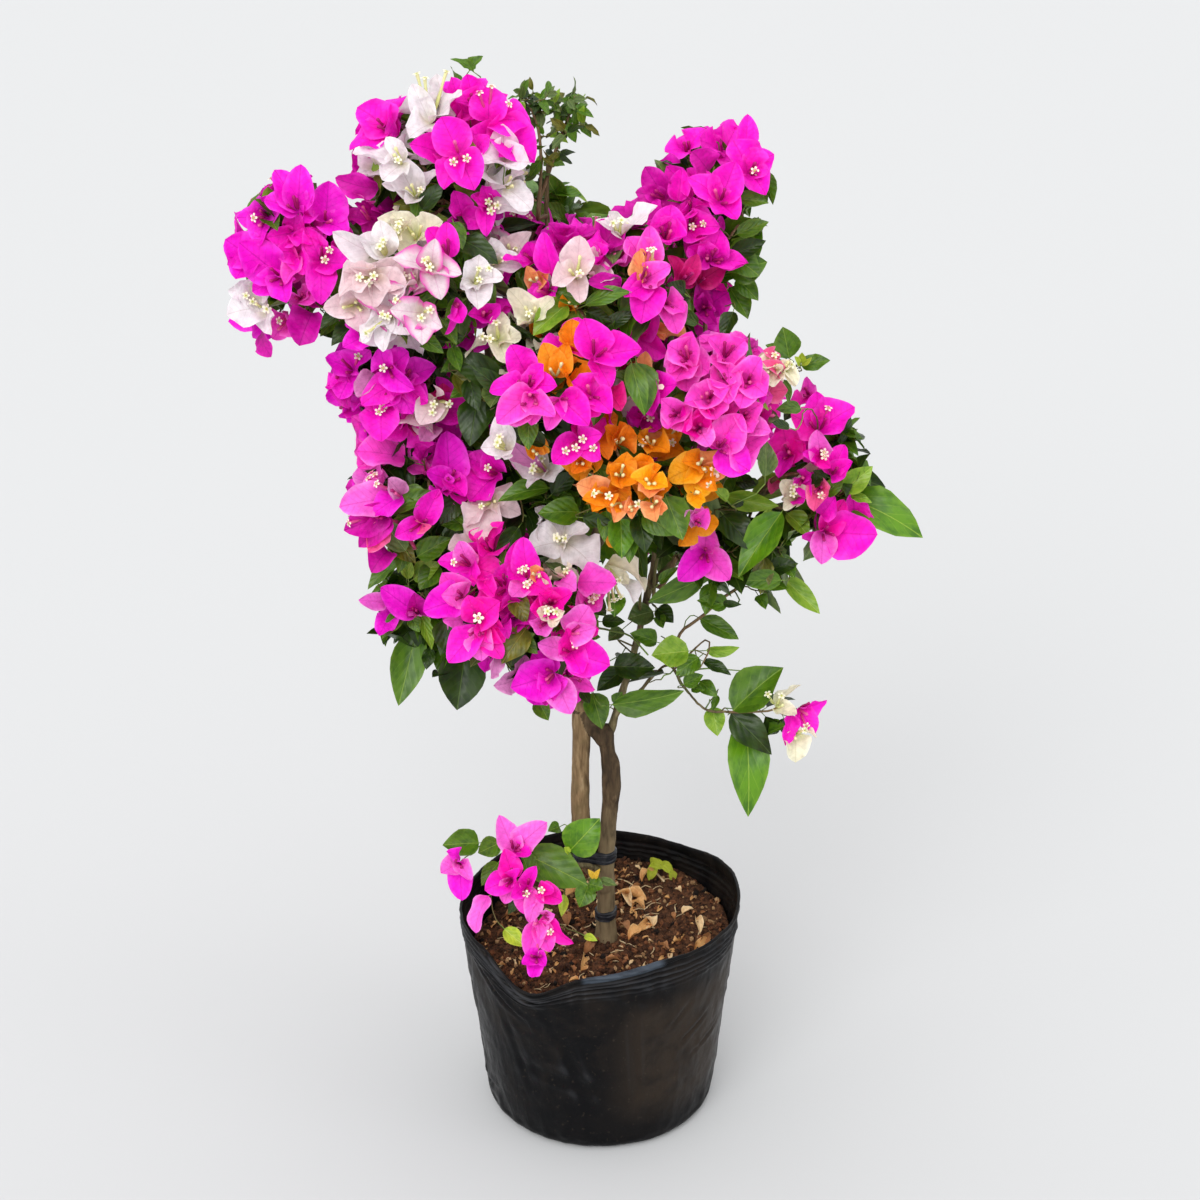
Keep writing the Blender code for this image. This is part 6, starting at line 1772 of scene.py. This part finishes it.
for t0, z0, t1, z1, depth, wide in FOLDS:
    dt = (T - t0 + math.pi) % (2 * math.pi) - math.pi
    ax, az, bx, bz = 0.0, z0, (t1 - t0) * 0.12, z1
    px, pz = dt * 0.12, Z0
    span = max(bx * bx + (bz - az) ** 2, 1e-9)
    s = np.clip((px * bx + (pz - az) * (bz - az)) / span, -0.1, 1.1)
    d = np.hypot(px - s * bx, pz - az - s * (bz - az))
    taper = np.sin(math.pi * np.clip((s + 0.1) / 1.2, 0, 1)) ** 0.6
    push += taper * depth * (-np.exp(-(d / wide) ** 2) + 0.55 * np.exp(-((d - 1.9 * wide) / wide) ** 2))
rough_field = np.zeros_like(R0)
for i in range(R0.shape[0]):
    for j in range(AROUND):
        c, s = math.cos(theta[j]), math.sin(theta[j])
        z = Z0[i, j]
        big = noise.noise(Vector((c * 2.1, s * 2.1, z * 16)))
        mid = 0.5 - abs(noise.noise(Vector((c * 6.5, s * 6.5, z * 38 + 3))))
        small = 0.5 - abs(noise.noise(Vector((c * 16, s * 16, z * 95 + 7))))
        fine = noise.noise(Vector((c * 42, s * 42, z * 260)))
        rough_field[i, j] = 0.0016 * big + 0.0014 * (mid - 0.35) + 0.00055 * (small - 0.35) + 0.00012 * fine
ribs = np.zeros_like(R0)
for at, size in ((0.2005, 0.9), (0.1955, 1.0), (0.1905, 0.9), (0.1850, 0.7), (0.1800, 0.3)):
    wander = 0.0010 * np.sin(3 * T + at * 900) + 0.0006 * np.sin(7 * T + 1)
    ribs += 0.0021 * size * np.exp(-((Z0 - at - wander) / 0.0012) ** 2)
flap = np.exp(-((T - 2 * math.pi - bag_at(640, 970)[0]) / 0.26) ** 2)
at_lip = (K >= len(profile) - 34) & (K < len(profile) - 28)
pleat = np.exp(-(Z0 / 0.020) ** 2) * W0 * 0.0016 * (np.abs(np.sin(T * 13 + 2 * np.sin(T * 3))) ** 3 - 0.3)
normal_push = (push + rough_field) * W0 + np.where(W0 > 0.5, ribs, 0) + pleat
R1 = R0 + normal_push + np.where(at_lip, 0.0042 * flap * np.clip((profile[K, 0] - BAG_RIM_R + 0.0014) / 0.0029, 0, 1), 0)
lip_wave = 0.0016 * np.sin(2 * T + 1.1) + 0.0011 * np.sin(5 * T + 0.4) + 0.0006 * np.sin(11 * T + 2.0)
Z1 = Z0 + lip_wave * np.clip((Z0 - 0.185) / 0.02, 0, 1)
Z1 = Z1 - np.where(at_lip, 0.0016 * flap * np.clip((profile[K, 0] - BAG_RIM_R + 0.0014) / 0.0029, 0, 1) ** 2, 0)
grow, lift = slump(T, R0, Z0)
R1 = R1 * grow
verts = np.stack([R1 * np.cos(T), R1 * np.sin(T), np.maximum(Z1 + lift, 0.0)], -1).reshape(-1, 3)
verts = np.concatenate([[(0, 0, 0.0)], verts])
g = 1 + np.arange(K.size).reshape(K.shape)
h = np.roll(g, -1, 1)
quads = np.stack([g[:-1], h[:-1], h[1:], g[1:]], -1).reshape(-1, 4)
tris = np.stack([np.zeros(AROUND, int), h[0], g[0]], -1)
bag = mesh_piece("film_bag", verts, [quads, tris], np.zeros(len(quads) + len(tris), int), [])
# Mask of the painted highlight on the ribs and raised folds of the film.
relief = bag.data.attributes.new("relief", "FLOAT", "POINT")
relief.data.foreach_set("value", np.concatenate([[0.0], (np.where(inside, 0.4, 1.0) * W0 * np.clip(ribs / 0.0021 * 0.85 + np.maximum(push, 0) / 0.0007 * 0.40, 0, 1)).ravel()]).astype(np.float32))
sh = Shader("black_film", 0.30, 0.09)
place = sh.node("ShaderNodeTexCoord").outputs["Object"]
split = sh.node("ShaderNodeSeparateXYZ", {0: place})
dust = sh.noise(place, 26.0, 6.0, 0.62, 0.4)
fine = sh.noise(place, 210.0, 5.0, 0.6)
low = sh.step(split.outputs[2], 0.150, 0.020)
right = sh.math("MULTIPLY", sh.step(split.outputs[0], -0.01, 0.055), sh.math("MULTIPLY", sh.step(split.outputs[1], 0.0, -0.05), sh.math("MULTIPLY", sh.step(split.outputs[2], 0.185, 0.150), sh.step(split.outputs[2], 0.015, 0.060))))
# Pale brown dust in patches; the film is darker towards the bottom, where the mask thins, and browner on the front
# right.
dusty = sh.math("MULTIPLY", sh.step(dust, 0.42, 0.66), sh.math("SUBTRACT", 0.30, sh.math("MULTIPLY", low, 0.22)))
dusty = sh.math("MAXIMUM", dusty, sh.math("MULTIPLY", right, sh.step(dust, 0.22, 0.60, 0.25, 0.95)))
colour = sh.mix(dusty, rgb(9, 9, 11), rgb(46, 38, 31))
colour = sh.mix(sh.math("MULTIPLY", sh.step(fine, 0.60, 0.72), 0.35), colour, rgb(64, 56, 48))
# Painted highlight: a lighter grey on the ribs and along the raised folds, where light would catch them, broken up by
# the dust noise.
ridge = sh.node("ShaderNodeAttribute", attribute_name="relief").outputs["Fac"]
colour = sh.mix(sh.math("MULTIPLY", sh.step(ridge, 0.15, 0.95), sh.step(dust, 0.20, 0.62, 0.35, 0.85)), colour, rgb(54, 55, 58))
# Painted reflection: the front of the lip is a fold that lies open to the sky, and a grey-blue band painted on it
# stands for the sky it would mirror.
edge_z = sh.math("ADD", sh.math("MULTIPLY", split.outputs[0], 0.171), 0.2047)
lip_sky_reflection_mask = sh.math("MULTIPLY", sh.step(sh.math("SUBTRACT", split.outputs[2], edge_z), -0.0075, -0.0060), sh.math("MULTIPLY", sh.step(split.outputs[1], -0.100, -0.106), sh.math("MULTIPLY", sh.step(split.outputs[0], -0.019, -0.011), sh.step(split.outputs[0], 0.062, 0.052))))
along = sh.noise(sh.node("ShaderNodeMapping", {0: place, "Scale": (1.0, 1.0, 5.0)}).outputs[0], 60.0, 4.0, 0.6)
colour = sh.mix(sh.math("MULTIPLY", lip_sky_reflection_mask, sh.step(along, 0.30, 0.62, 0.45, 1.0)), colour, rgb(66, 74, 84))
sh.put(sh.bsdf.inputs["Base Color"], colour)
sh.put(sh.bsdf.inputs["Roughness"], sh.math("ADD", sh.step(dust, 0.3, 0.7, 0.24, 0.46), sh.math("MULTIPLY", fine, 0.12)))
stretch = sh.noise(sh.node("ShaderNodeMapping", {0: place, "Scale": (1.0, 1.0, 0.35)}).outputs[0], 130.0, 5.0, 0.6, 0.8)
sh.bump(sh.math("ADD", stretch, sh.math("MULTIPLY", fine, 0.3)), 0.35, 0.0012)
bag.data.materials.append(sh.mat)

# ---------------------------------------------------------------- compost
n_r, n_t = 76, 260
rr = np.linspace(0.0, 1.0, n_r + 1)[1:]
tt = 2 * math.pi * np.arange(n_t) / n_t


def soil_height(x, y):
    r = math.hypot(x, y)
    flat = SOIL_TOP_Z + (SOIL_EDGE_Z - SOIL_TOP_Z) * min(1.0, max(0.0, (r - SOIL_FLAT_R) / (0.121 - SOIL_FLAT_R)))
    near = math.exp(-(math.hypot(x - 0.0055, y) / 0.020) ** 2)
    lump = 0.0030 * noise.noise(Vector((x * 42, y * 42, 1))) + 0.0028 * noise.noise(Vector((x * 130, y * 130, 5))) + 0.0012 * noise.noise(Vector((x * 330, y * 330, 9)))
    flat += float(bank(math.atan2(y, x), r))
    _, rise = slump(math.atan2(y, x), r, flat)
    return flat + lump * (1 - 0.5 * near) + 0.0012 * near + float(rise)


def soil_reach(a):
    """The compost's outer radius at an angle, just inside the film."""
    z = SOIL_EDGE_Z + float(bank(a, 0.121))
    return (float(bag_side(z)) - 0.0030) * float(slump(a, 0.12, z)[0])


verts = [(0.0, 0.0, soil_height(0.0, 0.0))]
for q in rr:
    for a in tt:
        x, y = soil_reach(a) * q * math.cos(a), soil_reach(a) * q * math.sin(a)
        verts.append((x, y, soil_height(x, y)))
edge = 1 + (n_r - 1) * n_t
for k, (shrink, drop) in enumerate(((1.0, 0.006), (0.985, 0.012))):
    for j in range(n_t):
        x, y, z = verts[edge + j]
        verts.append((x * shrink, y * shrink, z - drop))
verts.append((0.0, 0.0, SOIL_EDGE_Z - 0.010))
g = 1 + np.arange((n_r + 2) * n_t).reshape(n_r + 2, n_t)
h = np.roll(g, -1, 1)
quads = np.stack([g[:-1], g[1:], h[1:], h[:-1]], -1).reshape(-1, 4)
tris = np.concatenate([np.stack([np.zeros(n_t, int), g[0], h[0]], -1), np.stack([np.full(n_t, len(verts) - 1), h[-1], g[-1]], -1)])
soil = mesh_piece("soil", np.array(verts), [quads, tris], np.zeros(len(quads) + len(tris), int), [])


def earth_material(name, dark, body, pale):
    sh = Shader(name, 0.93, 0.2)
    place = sh.node("ShaderNodeTexCoord").outputs["Object"]
    grain = sh.noise(place, 260.0, 6.0, 0.65)
    patch = sh.noise(place, 46.0, 4.0, 0.6)
    speck = sh.noise(place, 900.0, 3.0, 0.6)
    colour = sh.mix(sh.step(grain, 0.36, 0.60), dark, body)
    colour = sh.mix(sh.step(patch, 0.5, 0.7, 0.0, 0.55), colour, dark)
    colour = sh.mix(sh.step(speck, 0.60, 0.72, 0.0, 0.75), colour, pale)
    sh.put(sh.bsdf.inputs["Base Color"], colour)
    sh.bump(sh.math("ADD", grain, sh.math("MULTIPLY", speck, 0.5)), 1.0, 0.0022)
    return sh.mat


soil.data.materials.append(earth_material("earth", rgb(44, 27, 19), rgb(98, 64, 42), rgb(158, 118, 82)))

# Crumbs, chips and grains that lie on it.
bm = bmesh.new()
bmesh.ops.create_icosphere(bm, subdivisions=1, radius=1.0)
BALL = np.array([tuple(v.co) for v in bm.verts])
BALL_FACES = np.array([[v.index for v in f.verts] for f in bm.faces])
bm.free()
BALL = BALL[:12]
bm = bmesh.new()
bmesh.ops.create_icosphere(bm, subdivisions=1, radius=1.0)
BALL = np.array([tuple(v.co) for v in bm.verts])
bm.free()
CRUMBS = 2700
crumb_verts, crumb_faces, crumb_kinds = [], [], []
for i in range(CRUMBS):
    a, q = RNG.uniform(0, 2 * math.pi), math.sqrt(RNG.uniform(0, 1)) * 0.119
    q *= soil_reach(a) / 0.1205
    x, y = q * math.cos(a), q * math.sin(a)
    size = 0.0009 + 0.0028 * RNG.random() ** 2.6
    shape = RNG.uniform(0.55, 1.25, 3) * size
    turn = np.linalg.qr(RNG.normal(0, 1, (3, 3)))[0]
    v = (BALL * (1 + RNG.normal(0, 0.16, (len(BALL), 1)))) * shape @ turn.T + (x, y, soil_height(x, y) + size * 0.35)
    crumb_faces.append(BALL_FACES + len(BALL) * i)
    crumb_verts.append(v)
    crumb_kinds.append(np.full(len(BALL_FACES), RNG.choice(4, p=(0.42, 0.36, 0.14, 0.08))))
crumbs = mesh_piece("crumbs", np.concatenate(crumb_verts), [np.concatenate(crumb_faces)], np.concatenate(crumb_kinds),
                    [earth_material("crumb_dark", rgb(40, 25, 18), rgb(78, 50, 34), rgb(120, 84, 58)), earth_material("crumb_red", rgb(84, 50, 32), rgb(134, 86, 56), rgb(176, 128, 88)),
                     earth_material("crumb_tan", rgb(132, 98, 66), rgb(182, 146, 104), rgb(212, 184, 142)), earth_material("crumb_black", rgb(18, 14, 12), rgb(34, 26, 22), rgb(58, 46, 38))], smooth=False)

# Fallen bracts, a curled leaf and straw.
fallen = []
straws = []


def soil_at(px, py, over=0.002):
    """The point of the compost at a point of the view."""
    way = sight(px, py)
    z = SOIL_TOP_Z
    for _ in range(12):
        p = EYE + way * ((z - EYE[2]) / way[2])
        r = math.hypot(p[0], p[1])
        if r > 0.112:
            p[:2] *= 0.112 / r
        z = 0.5 * z + 0.5 * soil_height(p[0], p[1])
    return np.array((p[0], p[1], soil_height(p[0], p[1]) + over))


def fall(kind, foot, tip, wide, over=0.0025, flat=0.5):
    a, b = soil_at(450 + foot[0] / 4.48, 800 + foot[1] / 4.48, over), soil_at(450 + tip[0] / 4.48, 800 + tip[1] / 4.48, over + 0.002)
    face = unit(np.array((RNG.normal(0, flat), RNG.normal(0, flat), 1.0)))
    way = unit(b - a)
    fallen.append((kind, a, b, unit(face - way * (face @ way)), wide / 1000, False))


for row in [("t", (785, 430), (880, 470), 15), ("t", (870, 500), (800, 470), 12), ("t", (885, 560), (835, 600), 11), ("t", (800, 640), (868, 600), 12), ("b", (770, 560), (800, 600), 9), ("t", (860, 378), (930, 342), 9),
            ("t", (1092, 688), (1160, 640), 13), ("b", (1120, 660), (1166, 615), 9), ("t", (585, 775), (610, 700), 11), ("b", (600, 700), (640, 655), 10), 
            ("b", (930, 660), (980, 690), 9), ("b", (700, 740), (760, 730), 9), ("p", (1040, 520), (1090, 500), 9)]:
    fall(*row)
# A yellow-green leaf that has curled into an arch.
for foot, tip, low, high, wide in (((893, 352), (945, 250), 0.002, 0.011, 0.011), ((925, 262), (1008, 262), 0.009, 0.012, 0.012), ((990, 255), (1018, 306), 0.012, 0.008, 0.011), ((1020, 300), (1002, 350), 0.009, 0.001, 0.009)):
    a = soil_at(450 + foot[0] / 4.48, 800 + foot[1] / 4.48 + low * 1000, low)
    b = soil_at(450 + tip[0] / 4.48, 800 + tip[1] / 4.48 + high * 1000, high)
    way = unit(b - a)
    face = unit(np.array((0.1, -0.75, 0.6)))
    fallen.append(("y", a - way * 0.002, b + way * 0.002, unit(face - way * (face @ way)), wide, False))
for _ in range(9):
    a, q = RNG.uniform(0.1, math.pi - 0.1), math.sqrt(RNG.uniform(0.1, 1)) * 0.100
    p = np.array((q * math.cos(a), q * math.sin(a), 0.0))
    p[2] = soil_height(p[0], p[1]) + 0.0025
    way = unit(np.array((RNG.normal(), RNG.normal(), RNG.normal(0, 0.12))))
    b = p + way * RNG.uniform(0.016, 0.026)
    b[:2] *= min(1.0, 0.110 / np.hypot(*b[:2]))
    b[2] = soil_height(b[0], b[1]) + RNG.uniform(0.002, 0.006)
    way = unit(b - p)
    face = unit(np.array((RNG.normal(0, 0.4), RNG.normal(0, 0.4), 1.0)))
    fallen.append(("tbbp"[RNG.integers(4)], p, b, unit(face - way * (face @ way)), RNG.uniform(0.009, 0.014), False))
for _ in range(46):
    a, q = RNG.uniform(0, 2 * math.pi), math.sqrt(RNG.uniform(0.03, 1)) * 0.106
    p = np.array((q * math.cos(a), q * math.sin(a), 0.0))
    heading, run = RNG.uniform(0, 2 * math.pi), RNG.uniform(0.006, 0.020)
    line = []
    for s in np.linspace(0, 1, 5):
        x, y = p[0] + math.cos(heading + 0.5 * s) * run * s, p[1] + math.sin(heading + 0.5 * s) * run * s
        r = math.hypot(x, y)
        if r > 0.114:
            x, y = x * 0.114 / r, y * 0.114 / r
        line.append((x, y, soil_height(x, y) + 0.0016 + 0.0010 * math.sin(math.pi * s)))
    line = np.array(line) + RNG.normal(0, 0.0002, (5, 3))
    straws.append((line, np.full(5, RNG.uniform(0.0003, 0.0006))))
for _ in range(150):
    a, q = RNG.uniform(0, 2 * math.pi), math.sqrt(RNG.uniform(0.02, 1)) * 0.110
    p = np.array((q * math.cos(a), q * math.sin(a), 0.0))
    p[2] = soil_height(p[0], p[1]) + 0.0016
    heading, run = RNG.uniform(0, 2 * math.pi), RNG.uniform(0.004, 0.0095)
    b = p + np.array((math.cos(heading), math.sin(heading), 0.0)) * run
    b[2] = soil_height(b[0], b[1]) + RNG.uniform(0.0012, 0.0040)
    way = unit(b - p)
    face = unit(np.array((RNG.normal(0, 0.5), RNG.normal(0, 0.5), 1.0)))
    fallen.append(("tbtp"[RNG.integers(4)], p, b, unit(face - way * (face @ way)), run * RNG.uniform(0.35, 0.7), False))
# A pale stick end and a curved straw beside the trunk.
for (ax, ay), (bx, by), arch, r in (((661, 870), (664, 883), 0.0, 0.0012), ((618, 881), (643, 897), 0.004, 0.0007), ((600, 905), (622, 893), 0.002, 0.0006)):
    one, two = soil_at(ax, ay, 0.0025), soil_at(bx, by, 0.0020)
    line = one + (two - one) * np.linspace(0, 1, 6)[:, None]
    line[:, 2] += arch * np.sin(math.pi * np.linspace(0, 1, 6))
    straws.append((line, np.full(6, r)))
order = "tbpy"
b, tile, n = blade_rows(fallen, order, BRACT_FORM, False)
b = bend_bracts(b, n)
b["cup"], b["bow"] = RNG.uniform(0.5, 1.2, n), RNG.normal(0.10, 0.08, n)
parts = [blades(b, 9, 7, BRACT_FORM, tile), tubes(straws, 5, [4] * len(straws))]
verts, faces, kinds, uv = joined(parts)
litter = mesh_piece("litter", verts, faces, kinds, [
    bract_material("dry_tan", 0, rgb(232, 180, 116), rgb(206, 138, 76), rgb(176, 114, 62), rgb(246, 212, 160), glow=0.2),
    bract_material("dry_brown", 1, rgb(176, 122, 78), rgb(136, 88, 54), rgb(118, 74, 46), rgb(196, 150, 104), glow=0.2),
    bract_material("dry_cream", 2, rgb(244, 212, 162), rgb(222, 180, 126), rgb(192, 146, 98), rgb(252, 236, 200), glow=0.2),
    bract_material("fallen_green", 3, rgb(186, 198, 66), rgb(158, 166, 52), rgb(206, 208, 104), rgb(204, 210, 88), glow=0.2),
    tube_material("straw", 4, rgb(186, 160, 118), rgb(212, 190, 150), 0.8)], uv)

# ---------------------------------------------------------------- what rides on and stands for what
BY_COLOUR = {
    "white_blossom": ["upper_left_mass", "heart_mass", "back_crest_mass"],
    "orange_blossom": ["orange_mass", "back_middle_mass"],
    "leaves": ["left_low_mass", "right_top_sprig", "right_leafy_mass", "right_low_mass", "hanging_mass", "green_shoot_mass", "back_low_left_mass", "back_low_right_mass"],
}
BY_COLOUR["magenta_blossom"] = [n for n in MASSES if not any(n in rest for rest in BY_COLOUR.values())]
pieces.update(stems=stems, boughs=boughs, ties=tape, film_bag=bag, soil=soil, crumbs=crumbs, litter=litter)
for name, piece in pieces.items():
    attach(piece, "root")
for name, nodes in BY_COLOUR.items():
    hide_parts(*nodes)
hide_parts(*STEMS)
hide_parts(*[n for n in LIMBS if n not in STEMS])
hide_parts("nursery_bag")
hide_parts("compost")
for name, piece in pieces.items():
    print(name, sum(len(p.vertices) - 2 for p in piece.data.polygons))

# ---------------------------------------------------------------- floor, light and camera
bpy.ops.mesh.primitive_plane_add(size=400.0, location=(0, 0, -0.0004))
floor = bpy.context.object
floor.name = "floor"
sh = Shader("pale_floor", 0.9, 0.1)
sh.bsdf.inputs["Base Color"].default_value = rgb(197, 198, 199)
floor.data.materials.append(sh.mat)
floor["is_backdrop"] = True

world = bpy.data.worlds.new("soft_room")
bpy.context.scene.world = world
world.use_nodes = True
# The room darkens a little towards the floor, so that the two meet without a line.
tree = world.node_tree
tree.nodes["Background"].inputs["Strength"].default_value = 1.17
place = tree.nodes.new("ShaderNodeTexCoord")
split = tree.nodes.new("ShaderNodeSeparateXYZ")
rise = tree.nodes.new("ShaderNodeMapRange")
rise.interpolation_type = "SMOOTHSTEP"
rise.inputs["From Min"].default_value, rise.inputs["From Max"].default_value = 0.0, 0.40
room = tree.nodes.new("ShaderNodeMix")
room.data_type = "RGBA"
room.inputs[6].default_value, room.inputs[7].default_value = (0.724, 0.737, 0.743, 1.0), (1.0, 1.0, 1.0, 1.0)
tree.links.new(place.outputs["Generated"], split.inputs[0])
tree.links.new(split.outputs[2], rise.inputs["Value"])
tree.links.new(rise.outputs[0], room.inputs[0])
tree.links.new(room.outputs[2], tree.nodes["Background"].inputs["Color"])


def far_light(name, way, energy, wide):
    """A broad soft light, far enough off to fall evenly."""
    light = bpy.data.lights.new(name, "SUN")
    light.energy, light.angle = energy, math.radians(wide)
    obj = bpy.data.objects.new(name, light)
    obj.rotation_euler = Vector(way).to_track_quat("-Z", "Y").to_euler()
    bpy.context.scene.collection.objects.link(obj)


far_light("key", (0.30, 0.90, -0.72), 1.62, 40)
far_light("left", (1.9, 1.0, -0.75), 0.19, 26)
far_light("right", (-1.9, 0.7, -0.75), 0.25, 26)

bpy.context.scene.view_settings.view_transform = "Standard"
camera = bpy.data.cameras.new("camera")
camera.lens, camera.sensor_width = 69.39, 36.0
camera.clip_start, camera.clip_end = 0.05, 500.0
eye = bpy.data.objects.new("camera", camera)
eye.location = EYE.tolist()
eye.rotation_euler = (math.pi / 2 - TILT, 0.0, 0.0)
bpy.context.scene.collection.objects.link(eye)
bpy.context.scene.camera = eye

{"cad": CAD_BOX, "visual": [list(corner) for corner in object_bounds()]}
